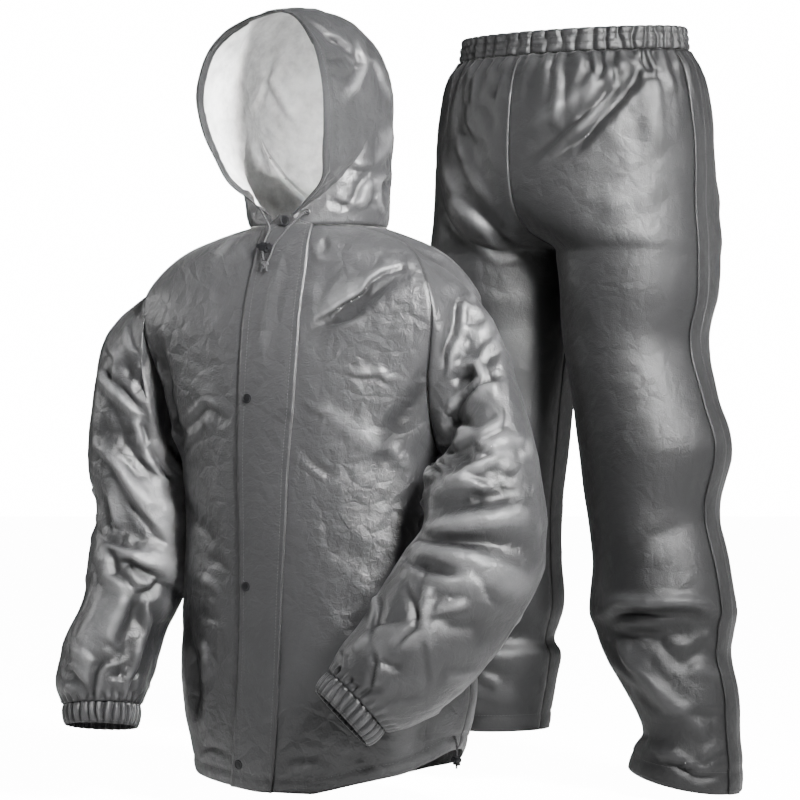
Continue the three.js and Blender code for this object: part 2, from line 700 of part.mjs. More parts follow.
function makeTrouserPanel(side, face) {
  const folds = TROUSER_FOLDS[`${side}_${face}`].map((fold) => ({
    ...fold,
    across: fold.across * 2.6,
    toAcross: fold.toAcross * 2.6,
  }));
  const panelWidth = 260;
  const gatherDepth = 4.5;
  const gatherLength = 3.2; // rows below the waistband in which the gathers die out
  const cloth = new Cloth(LEG_ROWS, PANEL_COLUMNS, (r, c) => trouserPoint(r, c / PANEL_COLUMNS, side, face));
  return cloth.raise((r, c) => {
    const calm = THREE.MathUtils.clamp(Math.min(c - 1, (PANEL_COLUMNS - c) / 2), 0, 1);
    const legs = side === "left" ? LEFT_LEG : RIGHT_LEG;
    const fold = foldHeight(folds, (c / PANEL_COLUMNS) * panelWidth, legHeight(r, legs));
    const gather = gatherDepth * Math.max(0, 1 - r / gatherLength) * (c % 2 === 0 ? -1 : 1);
    const edge = THREE.MathUtils.clamp(Math.min(c - 1, PANEL_COLUMNS - c), 0, 1);
    return Math.min(r, 1) * (calm * fold + edge * gather);
  });
}

// The elastic waistband, gathered all round.
function makeWaistband() {
  const count = WAIST_WAVES * POINTS_A_WAVE;
  const gatherDepth = 2.4;
  return new Cloth(
    1,
    count,
    (r, c) => {
      const angle = (2 * Math.PI * c) / count;
      const wave = gatherDepth * Math.sin((2 * Math.PI * c) / POINTS_A_WAVE + Math.PI / 4);
      const z = lerp(WAIST_TOP, WAIST_BOTTOM + 1.2, r);
      const depth = Math.sin(angle) > 0 ? SEAT[0].back : SEAT[0].front;
      const shrink = 4 * (1 - r);
      const x = (SEAT[0].half + wave - shrink) * Math.cos(angle);
      const y = (depth + wave - shrink) * Math.sin(angle);
      return turned(x, y, z + WAIST_DIP * Math.sin(angle), TROUSERS_YAW, TROUSERS_CENTRE);
    },
    { closed: true },
  );
}

// A place on a cloth between its grid lines: the point on its middle and the normal there.
function placeOn(cloth, row, column) {
  const r = Math.min(Math.floor(row), cloth.lastRow - 1);
  const c = Math.min(Math.floor(column), cloth.width - 2);
  const blend = (grid) => {
    const upper = grid[r][c].clone().lerp(grid[r][c + 1], column - c);
    const lower = grid[r + 1][c].clone().lerp(grid[r + 1][c + 1], column - c);
    return upper.lerp(lower, row - r);
  };
  return { point: blend(cloth.points), normal: blend(cloth.normals).normalize() };
}

// A cloth whose points are given as places, each moved out along the normal of the cloth it lies on.
function onTop(places, lift = CLOTH + LAYER_GAP) {
  const cloth = new Cloth(places.length - 1, places[0].length - 1, (r, c) =>
    places[r][c].point.clone().addScaledVector(places[r][c].normal, lift),
  );
  const agreement = places.flat().reduce((total, place, i) => total + place.normal.dot(cloth.normals.flat()[i]), 0);
  if (agreement < 0) {
    cloth.normals.forEach((row) => row.forEach((n) => n.negate()));
    cloth.flipped = !cloth.flipped;
  }
  return cloth;
}

// The row of the body, with its fraction, at a height.
function bodyRow(z) {
  const row = Array.from({ length: ROWS }, (_, r) => r).find((r) => bodyHeight(r + 1) <= z) ?? ROWS - 1;
  return row + (bodyHeight(row) - z) / (bodyHeight(row) - bodyHeight(row + 1));
}

// A place on the fronts, so far from the body's middle at a height.
function onFront(fronts, x, z) {
  const turn = radians(read(BODY, "z", z, "turn"));
  const share = Math.asin((x * Math.sin(turn)) / read(BODY, "z", z, "half")) / turn;
  const meeting = closureShare(z, "meeting");
  const side = share > meeting ? "left" : "right";
  const sign = side === "left" ? 1 : -1;
  return placeOn(fronts[side], bodyRow(z), (FRONT_COLUMNS * (share - meeting)) / (sign - meeting));
}

// The storm flap, over the meeting of the fronts, from a snapped tab over the neck seam to the hem.
const TAB = table(["z", "halfWidth", "fore"], [NECK_HEIGHT + 15, 9, 97.8], [NECK_HEIGHT + 9, 16, 98]);
function makeStormFlap(fronts) {
  const tabRows = TAB.map((row) =>
    [-1, 0, 1].map((across) => {
      const x = across * row.halfWidth;
      const place = (fore) => turned(x, -fore + Math.abs(across) * 1.3, row.z, JACKET_YAW, JACKET_CENTRE);
      return { point: place(row.fore - CLOTH - LAYER_GAP), normal: place(1).sub(place(0)).normalize() };
    }),
  );
  const bodyRows = Array.from({ length: ROWS + 1 }, (_, r) => {
    const z = bodyHeight(r);
    const meeting = closureShare(z, "meeting");
    const column = (line) => {
      const sign = line === "left" ? 1 : -1;
      return Math.min(1, (FRONT_COLUMNS * (closureShare(z, line) - meeting)) / (sign - meeting));
    };
    return [
      placeOn(fronts.right, r, column("right")),
      placeOn(fronts.right, r, 0),
      placeOn(fronts.left, r, column("left")),
    ];
  });
  return onTop([...tabRows, ...bodyRows]);
}

// A flat strip over each outer seam of the trousers, from the waistband to the hem.
const STRIP_HALF = 14;
const STRIP_START = 0.15; // of the first row, below the waistband
function makeSideStrip(front, back) {
  const rows = Array.from({ length: LEG_ROWS + 1 }, (_, r) => {
    const column = (cloth) => STRIP_HALF / cloth.points[r][0].distanceTo(cloth.points[r][1]);
    const row = Math.max(r, STRIP_START);
    return [placeOn(back, row, column(back)), placeOn(back, row, 0), placeOn(front, row, column(front))];
  });
  return onTop(rows);
}

// A facing under the top of the hood's brim: its outer edge runs along the brim and its inner edge behind it. Each row
// is a place on one side of the hood, by the grid's row and column for the outer and the inner edge.
const FACING = table(
  ["side", "outerRow", "outerColumn", "innerRow", "innerColumn"],
  ["right", 4.7, 22, 4.2, 22],
  ["right", 4.8, 21, 3.9, 21],
  ["right", 4.85, 20, 4.1, 19.8],
  ["right", 5, 18.9, 5, 18.45],
  ["left", 4.85, 20, 4.1, 19.8],
  ["left", 4.8, 21, 3.9, 21],
  ["left", 4.7, 22, 4.2, 22],
);
function makeFacing(hood) {
  const edge = (name) => FACING.map((row) => placeOn(hood[row.side], row[`${name}Row`], row[`${name}Column`]));
  const cloth = onTop([edge("outer"), edge("inner")], -CLOTH / 2 - 1.2);
  cloth.normals.forEach((row) => row.forEach((n) => n.negate()));
  cloth.flipped = !cloth.flipped;
  return cloth;
}

// A closed geometry as a solid, and a solid as a geometry, for the few small parts that are cut or joined.
function solidOf(geometry) {
  const bare = new THREE.BufferGeometry();
  bare.setAttribute("position", geometry.getAttribute("position"));
  bare.setIndex(geometry.index);
  const merged = mergeVertices(bare, 1e-4);
  return new wasm.Manifold(
    new wasm.Mesh({
      numProp: 3,
      vertProperties: merged.getAttribute("position").array,
      triVerts: new Uint32Array(merged.index.array),
    }),
  );
}

function geometryOf(solid) {
  const mesh = solid.getMesh();
  const geometry = new THREE.BufferGeometry();
  geometry.setAttribute("position", new THREE.BufferAttribute(new Float32Array(mesh.vertProperties), 3));
  geometry.setIndex(new THREE.BufferAttribute(new Uint32Array(mesh.triVerts), 1));
  geometry.computeVertexNormals();
  return geometry;
}

// Turns a geometry's +Z to a direction, its +X as near as can be to another, and moves it to a point.
function stood(geometry, point, normal, along = vector(1, 0, 0)) {
  const side = normal.clone().cross(along).normalize();
  const matrix = new THREE.Matrix4().makeBasis(side.clone().cross(normal), side, normal).setPosition(point);
  return geometry.applyMatrix4(matrix);
}

// A round cord along a smooth path, closed at both ends.
const CORD_RADIUS = 1.5;
function cord(path) {
  const sides = 6;
  const curve = new THREE.CatmullRomCurve3(path, false, "centripetal");
  const steps = 4 * (path.length - 1);
  const frames = curve.computeFrenetFrames(steps, false);
  const positions = [];
  for (let i = 0; i <= steps; i += 1) {
    const centre = curve.getPointAt(i / steps);
    for (let k = 0; k < sides; k += 1) {
      const angle = (2 * Math.PI * k) / sides;
      const p = sum(
        centre,
        times(frames.normals[i], CORD_RADIUS * Math.cos(angle)),
        times(frames.binormals[i], CORD_RADIUS * Math.sin(angle)),
      );
      positions.push(p.x, p.y, p.z);
    }
  }
  const ends = [curve.getPointAt(0), curve.getPointAt(1)];
  ends.forEach((p) => positions.push(p.x, p.y, p.z));
  const [first, last] = [positions.length / 3 - 2, positions.length / 3 - 1];
  const index = [];
  for (let i = 0; i < steps; i += 1)
    for (let k = 0; k < sides; k += 1) {
      const [a, b] = [i * sides + k, i * sides + ((k + 1) % sides)];
      index.push(a, b, b + sides, a, b + sides, a + sides);
    }
  for (let k = 0; k < sides; k += 1) {
    const next = (k + 1) % sides;
    index.push(first, next, k, last, steps * sides + k, steps * sides + next);
  }
  const geometry = new THREE.BufferGeometry();
  geometry.setAttribute("position", new THREE.Float32BufferAttribute(positions, 3));
  geometry.setIndex(index);
  geometry.computeVertexNormals();
  return geometry;
}

// A ring or cap turned from a closed profile of [radius, height] pairs.
function lathe(profile, segments = 16) {
  const points = [...profile, profile[0]].map(([radius, height]) => new THREE.Vector2(radius, height));
  return new THREE.LatheGeometry(points, segments).rotateX(Math.PI / 2);
}

const snapCap = () =>
  lathe([[0, 0], [6.6, 0], [7, 0.5], [6.7, 1.6], [5.6, 2], [4.6, 1.4], [2, 1.5], [0, 1.6]]).toNonIndexed();
const eyelet = () => lathe([[2.3, 0], [4.6, 0], [4.5, 0.7], [3.4, 1.2], [2.4, 0.8]]);

// A cord lock: a sprung barrel lying across a body that the cord runs through. The cord's way is along +Y.
function cordLock(size = 1) {
  const barrel = new THREE.CylinderGeometry(4.6 * size, 4.6 * size, 15 * size, 14).rotateZ(Math.PI / 2);
  const knob = new THREE.CylinderGeometry(3.4 * size, 3.4 * size, 4 * size, 12).rotateZ(Math.PI / 2);
  const body = new THREE.BoxGeometry(9 * size, 12 * size, 8.4 * size);
  const hole = new THREE.CylinderGeometry(CORD_RADIUS + 0.7, CORD_RADIUS + 0.7, 40, 12);
  return geometryOf(
    solidOf(barrel)
      .add(solidOf(knob.translate(-9 * size, 0, 0)))
      .add(solidOf(body.translate(0, -2 * size, 0)))
      .subtract(solidOf(hole)),
  );
}

// A knot of the cord's ends with two short tails.
function knot(size = 1) {
  const ball = (x, y, z, radius) => solidOf(new THREE.SphereGeometry(radius * size, 9, 7).translate(x, y, z));
  const tail = (x, angle) =>
    solidOf(new THREE.CylinderGeometry(1.5, 1.3, 8, 8).translate(0, -7 * size, 0).rotateZ(angle).translate(x, 0, 0));
  return geometryOf(
    ball(-1.8, 0, 0, 3.6).add(ball(2, 0.8, 0.4, 3.4)).add(ball(0.2, -2.2, 1.2, 3)).add(tail(-1.5, -0.35)).add(tail(1.5, 0.3)),
  );
}

const suit = new THREE.Group();
const jacket = new THREE.Group();
const trousers = new THREE.Group();
suit.add(jacket, trousers);

const front = { left: makeFront("left"), right: makeFront("right") };
const back = makeBack();
const sleeve = { left: makeSleeve("left"), right: makeSleeve("right") };
const armRows = ROWS_ABOVE_ARM + 1;
for (const side of ["left", "right"]) {
  const backSide = side === "left" ? "last" : "first";
  const ring = sleeve[side].edge("top");
  const upBack = ring.slice(ROWS_ABOVE_ARM, 2 * ROWS_ABOVE_ARM + 1).reverse();
  sew(front[side], front[side].edge("last", 0, armRows), sleeve[side], ring.slice(0, armRows));
  sew(back, back.edge(backSide, 0, armRows), sleeve[side], upBack);
  sew(front[side], front[side].edge("last", 0, armRows), sleeve[side], ring.slice(0, armRows));
  sew(front[side], front[side].edge("last", ROWS_ABOVE_ARM), back, back.edge(backSide, ROWS_ABOVE_ARM));
}
sew(front.left, front.left.edge("first"), front.right, front.right.edge("first"));

for (const side of ["left", "right"]) {
  jacket.add(piece(`jacket_front_${side}`, front[side].drawBack().wall(), COLOURS.jacket));
  jacket.add(piece(`sleeve_${side}`, sleeve[side].drawBack().wall(), COLOURS.jacket));
  jacket.add(piece(`cuff_${side}`, makeCuff(side).drawBack(0.5).wall(), COLOURS.jacket));
}
jacket.add(piece("jacket_back", back.drawBack().wall(), COLOURS.jacket));
const flap = makeStormFlap(front);
jacket.add(piece("storm_flap", flap.wall(), COLOURS.jacket));

const hood = { left: makeHoodSide("left"), right: makeHoodSide("right") };
const middleSeam = [HOOD_NECK_POINTS, HOOD_NECK_POINTS + CROWN_SEAM.length];
sew(hood.left, hood.left.edge("bottom", ...middleSeam), hood.right, hood.right.edge("bottom", ...middleSeam));
for (const side of ["left", "right"]) {
  jacket.add(piece(`hood_${side}`, hood[side].drawBack(0.4).wall(), COLOURS.jacket));
}
jacket.add(piece("brim_facing", makeFacing(hood).wall(1.2), COLOURS.jacket));

// The snaps lie on the flap, a third of the way in from its free edge, and the neck snap on its tab.
const hardware = { roughness: 0.35 };
const SNAPS = table(["name", "z"], ["snap_chest", -230], ["snap_waist", -483], ["snap_hem", -725]);
const snapBase = CLOTH / 2 + LAYER_GAP;
for (const snap of SNAPS) {
  const { point, normal } = placeOn(flap, bodyRow(snap.z) + TAB.length, 0.34);
  const at = point.addScaledVector(normal, snapBase);
  jacket.add(piece(snap.name, stood(snapCap(), at, normal), COLOURS.hardware, hardware));
}
const neckNormal = turned(0, -1, 0, JACKET_YAW, { x: 0, y: 0 });
const neckSnap = turned(0, -98 - snapBase + 0.1, NECK_HEIGHT + 6, JACKET_YAW, JACKET_CENTRE);
jacket.add(piece("snap_neck", stood(snapCap(), neckSnap, neckNormal), COLOURS.hardware, hardware));

// The hood's drawcord leaves an eyelet on each side of the throat. The wearer's right strand runs through the cord lock,
// the left one beside it, and both end in one knot. Each row is a place over the fronts.
const CORD_PLACES = ["x", "z", "lift"];
const RIGHT_STRAND = table(CORD_PLACES, [-19, -3, 9], [-20, -16, 9.5], [-20, -30, 9.5], [-19, -38, 9.5], [-15.5, -46.6, 9]);
const LEFT_STRAND = table(CORD_PLACES, [8, -3, 8], [1, -13, 7], [-6, -24, 7], [-8, -40, 7.5], [-10.5, -46.6, 8.5]);
const LOCK_PLACE = { x: -20, z: -27, lift: 9.5 };
const KNOT_PLACE = { x: -12.5, z: -51.5, lift: 9 };
const over = ({ x, z, lift }) => {
  const { point, normal } = onFront(front, x, z);
  return point.addScaledVector(normal, lift);
};
// The place on the hood's cloth nearest to a point.
function nearestPlace(cloth, target) {
  const places = [];
  for (let row = 1; row <= cloth.lastRow - 0.2; row += 0.2)
    for (let column = 0; column <= cloth.width - 1; column += 0.25) places.push(placeOn(cloth, row, column));
  return places.reduce((best, place) =>
    place.point.distanceTo(target) < best.point.distanceTo(target) ? place : best,
  );
}
const EYELETS = table(["side", "half", "fore", "z"], ["right", -40, 94, 27], ["left", 36, 92, 23]);
for (const row of EYELETS) {
  const strand = row.side === "right" ? RIGHT_STRAND : LEFT_STRAND;
  const target = turned(row.half, -row.fore, row.z, HOOD_YAW, HOOD_CENTRE);
  const { point, normal } = nearestPlace(hood[row.side], target);
  const out = (distance) => point.clone().addScaledVector(normal, distance);
  jacket.add(piece(`hood_eyelet_${row.side}`, stood(eyelet(), out(snapBase + 0.5), normal), COLOURS.hardware, hardware));
  const path = [out(1.2), out(4), ...strand.map(over)];
  jacket.add(piece(`hood_cord_${row.side}`, cord(path), COLOURS.hardware));
}
const lockAxis = over({ ...LOCK_PLACE, z: -23 }).sub(over({ ...LOCK_PLACE, z: -31 })).normalize();
const lockNormal = onFront(front, LOCK_PLACE.x, LOCK_PLACE.z).normal;
const lockSide = lockAxis.clone().cross(lockNormal).normalize();
const lockMatrix = new THREE.Matrix4()
  .makeBasis(lockSide, lockAxis, lockSide.clone().cross(lockAxis))
  .setPosition(over(LOCK_PLACE));
jacket.add(piece("hood_cord_lock", cordLock().applyMatrix4(lockMatrix), COLOURS.hardware, hardware));
const knotMatrix = lockMatrix.clone().setPosition(over(KNOT_PLACE));
jacket.add(piece("hood_cord_knot", knot().applyMatrix4(knotMatrix), COLOURS.hardware));

// The hem's drawcord comes out of an eyelet by the wearer's left side and hangs below the hem, with its own lock.
const hemPlace = placeOn(front.left, ROWS - 0.45, FRONT_COLUMNS - 0.45);
const hemOut = (distance, drop) =>
  hemPlace.point.clone().addScaledVector(hemPlace.normal, distance).add(vector(0, 0, -drop));
jacket.add(piece("hem_eyelet", stood(eyelet(), hemOut(snapBase, 0), hemPlace.normal), COLOURS.hardware, hardware));
const hemPath = [hemOut(1.2, 0), hemOut(4, 0), hemOut(7, 8), hemOut(7.5, 20), hemOut(7, 36), hemOut(7, 41)];
jacket.add(piece("hem_cord", cord(hemPath), COLOURS.hardware));
const hemMatrix = new THREE.Matrix4()
  .makeBasis(vector(0, 0, 1).cross(hemPlace.normal).normalize(), vector(0, 0, 1), hemPlace.normal)
  .setPosition(hemOut(7.2, 29));
jacket.add(piece("hem_cord_lock", cordLock(0.9).applyMatrix4(hemMatrix), COLOURS.hardware, hardware));

const panels = {};
for (const side of ["left", "right"])
  for (const face of ["front", "back"]) panels[`${face}_${side}`] = makeTrouserPanel(side, face);
for (const side of ["left", "right"]) {
  const [ahead, behind] = [panels[`front_${side}`], panels[`back_${side}`]];
  sew(ahead, ahead.edge("first"), behind, behind.edge("first"));
  sew(ahead, ahead.edge("last", LEG_ROWS_ABOVE), behind, behind.edge("last", LEG_ROWS_ABOVE));
}
for (const face of ["front", "back"]) {
  const [left, right] = [panels[`${face}_left`], panels[`${face}_right`]];
  sew(left, left.edge("last", 0, LEG_ROWS_ABOVE), right, right.edge("last", 0, LEG_ROWS_ABOVE));
}
for (const [name, cloth] of Object.entries(panels))
  trousers.add(piece(`trouser_${name}`, cloth.drawBack().wall(), COLOURS.trousers));
for (const side of ["left", "right"]) {
  const strip = makeSideStrip(panels[`front_${side}`], panels[`back_${side}`]);
  trousers.add(piece(`side_strip_${side}`, strip.wall(), COLOURS.trousers));
}
trousers.add(piece("waistband", makeWaistband().wall(), COLOURS.trousers));

export default suit;
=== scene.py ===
"""The looks of a two-piece rain suit: a hooded jacket, and elastic-waist trousers behind it.

Lengths are in millimetres, in the suit's own frame, until a mesh is written in metres.
"""

import logging
import math
from dataclasses import dataclass, field
from enum import Enum
from typing import Optional, Sequence

import bpy
import numpy as np
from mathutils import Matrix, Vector


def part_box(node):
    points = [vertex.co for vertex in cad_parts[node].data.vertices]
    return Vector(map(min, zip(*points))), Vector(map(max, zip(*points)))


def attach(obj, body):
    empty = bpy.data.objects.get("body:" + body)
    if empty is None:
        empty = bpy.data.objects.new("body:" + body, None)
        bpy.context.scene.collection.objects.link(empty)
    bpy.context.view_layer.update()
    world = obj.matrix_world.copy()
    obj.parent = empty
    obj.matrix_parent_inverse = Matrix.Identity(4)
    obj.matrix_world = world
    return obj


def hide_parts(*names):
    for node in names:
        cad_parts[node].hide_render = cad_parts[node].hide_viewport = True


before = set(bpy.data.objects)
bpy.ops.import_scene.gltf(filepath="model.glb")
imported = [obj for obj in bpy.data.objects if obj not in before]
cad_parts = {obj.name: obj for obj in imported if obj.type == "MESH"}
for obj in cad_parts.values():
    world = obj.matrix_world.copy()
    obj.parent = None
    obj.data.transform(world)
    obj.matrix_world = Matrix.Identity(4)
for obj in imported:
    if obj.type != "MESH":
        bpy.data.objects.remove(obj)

logging.basicConfig(level=logging.INFO, format="%(message)s")
LOG = logging.getLogger("rain_suit")

Array = np.ndarray

CLOTH = 1.6  # one layer of coated cloth with its fleecy backing
LAYER_GAP = 0.6  # between a panel and what is sewn on top of it
JACKET_YAW = 26.0
HOOD_YAW = 32.0
TROUSERS_YAW = 38.0
JACKET_CENTRE = (1.0, 0.0)
HOOD_CENTRE = (1.0, 0.0)
TROUSERS_CENTRE = (363.0, 200.0)
NECK_HEIGHT = 5.0
NECK_RADIUS = 95.0
UNDERARM = -325.0
HEM = -757.0
EYE = (113.2, -4500.0, -231.8)  # where the photograph was taken from
PIXEL = 1.38  # millimetres that a pixel of the photograph spans at the jacket
PICTURE_MIDDLE = 400  # the photograph's middle pixel, across and down
SEAM_DIP = 1.3  # how deep the cloth sinks at a sewn edge
SEAM_WIDTH = 3.2
COLUMN_SPACE = 33.0  # about how far apart a piece's coarse grid lines lie
LEG_ROW_SPACE = 54.0  # about how far apart the legs' coarse rows lie
LEG_FINE_SPACE = 4.91  # and their fine rows


class Side(Enum):
    """A side of the wearer, with the sign of its own x."""

    LEFT = 1
    RIGHT = -1


class Face(Enum):
    """The front or the back of a garment."""

    FRONT = "front"
    BACK = "back"


# Numbers


def smooth(t: Array) -> Array:
    """Eases from 0 to 1.

    Args:
        t: Where on the way, below 0 and above 1 held.

    Returns:
        The eased share.
    """
    t = np.clip(t, 0.0, 1.0)
    return t * t * (3.0 - 2.0 * t)


def hump(at: Array, middle: float, width: float, height: float) -> Array:
    """A round hump.

    Args:
        at: Where to read.
        middle: Where it is highest.
        width: From there to where it has sunk to about a third.
        height: How high it is.

    Returns:
        The height at each place.
    """
    return height * np.exp(-(((at - middle) / width) ** 2))


def unit(vectors: Array) -> Array:
    """The vectors at length one."""
    return vectors / np.maximum(np.linalg.norm(vectors, axis=-1, keepdims=True), 1e-9)


def hermite(keys: Array, values: Array, at: Array) -> Array:
    """Reads a table smoothly between its rows.

    Args:
        keys: Rising keys of the rows.
        values: One value, or one array, for each key.
        at: Where to read.

    Returns:
        The values there, with the shape of at in front.
    """
    at = np.asarray(at, float)
    last = len(keys) - 1
    i = np.clip(np.searchsorted(keys, at, side="right") - 1, 0, last - 1)
    before, after = np.maximum(np.arange(last + 1) - 1, 0), np.minimum(np.arange(last + 1) + 1, last)
    extra = (1,) * (values.ndim - 1)
    slopes = (values[after] - values[before]) / (keys[after] - keys[before]).reshape(-1, *extra)
    span = keys[i + 1] - keys[i]
    t = np.clip((at - keys[i]) / span, 0.0, 1.0).reshape(at.shape + extra)
    span = span.reshape(at.shape + extra)
    t2, t3 = t * t, t * t * t
    return (
        (2 * t3 - 3 * t2 + 1) * values[i]
        + (t3 - 2 * t2 + t) * span * slopes[i]
        + (3 * t2 - 2 * t3) * values[i + 1]
        + (t3 - t2) * span * slopes[i + 1]
    )


class Table:
    """Rows of sections with named columns; the first column is the key."""

    def __init__(self, names: str, *rows: Sequence[float]) -> None:
        """Keeps the rows by rising key.

        Args:
            names: The columns' names, with spaces between them.
            rows: One row for each section.
        """
        self.names = names.split()
        data = np.array(rows, float)
        self.data = data[np.argsort(data[:, 0])]

    def read(self, name: str, at: Array) -> Array:
        """Reads one column smoothly.

        Args:
            name: The column.
            at: Where on the key.

        Returns:
            The column's values there.
        """
        return hermite(self.data[:, 0], self.data[:, self.names.index(name)], at)

    def column(self, name: str) -> Array:
        """The bare values of one column."""
        return self.data[:, self.names.index(name)]


def turned(x: Array, y: Array, z: Array, yaw: float, centre: Sequence[float]) -> Array:
    """A garment's own points, turned to face as it does and put in place.

    Args:
        x: To the picture's right, in the garment's own axes.
        y: Backwards.
        z: Up.
        yaw: Degrees that the garment's front is turned towards -X.
        centre: Where its middle stands.

    Returns:
        The points in the suit's frame.
    """
    c, s = math.cos(math.radians(yaw)), math.sin(math.radians(yaw))
    x, y, z = np.broadcast_arrays(np.asarray(x, float), y, z)
    return np.stack([centre[0] + x * c + y * s, centre[1] - x * s + y * c, z], axis=-1)


class Noise:
    """Smooth seeded noise in three dimensions, between about -1 and 1."""

    def __init__(self, seed: int) -> None:
        """Draws the lattice.

        Args:
            seed: The same seed always gives the same cloth.
        """
        draw = np.random.default_rng(seed)
        self.order = np.tile(draw.permutation(256), 3)
        self.ways = unit(draw.normal(size=(256, 3)))

    def at(self, points: Array, size: float) -> Array:
        """Reads the noise.

        Args:
            points: Places in millimetres.
            size: How far apart its bumps are.

        Returns:
            One value for each point.
        """
        p = points / size + 1000.0
        cell = np.floor(p).astype(int)
        f = p - cell
        cell &= 255
        ease = f * f * f * (f * (f * 6.0 - 15.0) + 10.0)
        total = np.zeros(points.shape[:-1])
        for corner in np.ndindex(2, 2, 2):
            corner_at = np.array(corner)
            c = cell + corner_at
            row = self.order[self.order[c[..., 0] & 255] + (c[..., 1] & 255)]
            key = self.order[row + (c[..., 2] & 255)]
            share = np.prod(np.where(corner_at == 1, ease, 1.0 - ease), axis=-1)
            total += share * np.sum(self.ways[key] * (f - corner_at), axis=-1)
        return total * 1.7

    def crumple(self, points: Array, size: float) -> Array:
        """Noise with narrow ridges and wide hollows, as crushed cloth has, between about -1 and 0.4."""
        drift = np.stack([self.at(points + 91.0 * k, size * 1.6) for k in range(3)], axis=-1)
        bent = points + size * 0.35 * drift
        return 0.4 - 1.3 * np.hypot(self.at(bent, size), 0.03)


# Creases


@dataclass(frozen=True)
class Crease:
    """A soft ridge or trough along a line on the cloth."""

    path: tuple[float, ...]  # across, up, across, up, ... in millimetres
    height: float  # a trough has a negative one
    width: float
    lean: float = 0.0  # how much cloth it pushes up beside it, and on which side

    def lift(self, across: Array, up: Array) -> Array:
        """How far it moves the cloth.

        Args:
            across: Where the cloth's points are, sideways.
            up: Their heights.

        Returns:
            A height for each point.
        """
        corners = np.array(self.path, float).reshape(-1, 2)
        lengths = np.linalg.norm(np.diff(corners, axis=0), axis=1)
        total, gone = lengths.sum(), 0.0
        reach = 4.5 * self.width
        lifted = np.zeros(across.shape)
        low, high = corners.min(0) - reach, corners.max(0) + reach
        near = (across > low[0]) & (across < high[0]) & (up > low[1]) & (up < high[1])
        if not near.any():
            return lifted
        x, y = across[near], up[near]
        best = np.full(x.shape, 1e9)
        side, along = np.zeros(x.shape), np.zeros(x.shape)
        for start, end, length in zip(corners[:-1], corners[1:], lengths):
            way = (end - start) / length
            t = (x - start[0]) * way[0] + (y - start[1]) * way[1]
            inside = np.clip(t, 0.0, length)
            dx, dy = x - start[0] - inside * way[0], y - start[1] - inside * way[1]
            away = np.hypot(dx, dy)
            closer = away < best
            best = np.where(closer, away, best)
            side = np.where(closer, np.where(way[0] * dy - way[1] * dx >= 0, away, -away), side)
            along = np.where(closer, (gone + inside) / total, along)
            gone += length
        fade = smooth(along / 0.3) * smooth((1.0 - along) / 0.3) * 0.85 + 0.15
        fade *= np.exp(-np.maximum(best - 3.0 * self.width, 0.0) / self.width)
        steep, gentle = (1.2, 3.0) if self.lean else (1.9, 1.9)
        towards = side * math.copysign(1.0, self.lean or 1.0) / self.width
        slope = np.where(towards > 0, towards / steep, -towards / gentle)
        profile = np.maximum(1.0 - np.hypot(slope, 0.09), 0.0)
        profile -= 0.55 * abs(self.lean) * np.maximum(1.0 - np.abs(towards - 1.9) / 1.5, 0.0)
        lifted[near] = self.height * fade * profile
        return lifted


@dataclass(frozen=True)
class Enlargement:
    """A cut-out of the photograph that was enlarged to pick places off it."""

    left: float
    top: float
    times: float

    def place(self, across: float, down: float) -> tuple[int, int]:
        """A place that was picked, in whole millimetres across and up as the camera sees them.

        Args:
            across: Pixels of the cut-out.
            down: Pixels of the cut-out.

        Returns:
            The place on the plane through the suit's origin.
        """
        column, row = self.left + across / self.times, self.top + down / self.times
        across = EYE[0] + (column - PICTURE_MIDDLE) * PIXEL
        return round(across), round(EYE[2] - (row - PICTURE_MIDDLE) * PIXEL)


def creases(*rows: Sequence) -> tuple[Crease, ...]:
    """Creases from rows of cut-out, height, width, lean, then the path.

    Args:
        rows: One row for each crease.

    Returns:
        The creases.
    """
    made = []
    for view, height, width, lean, *path in rows:
        places = [view.place(x, y) for x, y in zip(path[::2], path[1::2])]
        made.append(Crease(tuple(value for place in places for value in place), height, width, lean))
    return tuple(made)


def turned_over(lines: Sequence[Crease], about: float, drop: float) -> tuple[Crease, ...]:
    """The same kind of creases for the side that the camera doesn't see.

    Args:
        lines: Creases of the near side.
        about: The x that they are mirrored about.
        drop: How far they are moved down.

    Returns:
        The creases of the far side.
    """
    made = []
    for line in lines:
        path = [2 * about - p if i % 2 == 0 else p - drop for i, p in enumerate(line.path)]
        made.append(Crease(tuple(path), 0.85 * line.height, 1.1 * line.width, -line.lean))
    return tuple(made)


def straight_folds(folds: Sequence[Sequence[float]], across: Array, along: Array) -> Array:
    """The large folds that the solid has too, from rows of two ends, height and width.

    Args:
        folds: The rows.
        across: Where the cloth's points are, sideways.
        along: Where they are lengthways.

    Returns:
        A height for each point.
    """
    total = np.zeros(np.broadcast(across, along).shape)
    for x, y, to_x, to_y, height, width in folds:
        dx, dy = to_x - x, to_y - y
        t = ((across - x) * dx + (along - y) * dy) / (dx * dx + dy * dy)
        inside = np.clip(t, 0.0, 1.0)
        away = np.hypot(across - x - inside * dx, along - y - inside * dy)
        taper = np.sin(math.pi * np.clip(0.12 + 0.76 * t, 0.0, 1.0))
        total = total + height * taper * np.exp(-((away / width) ** 2))
    return total


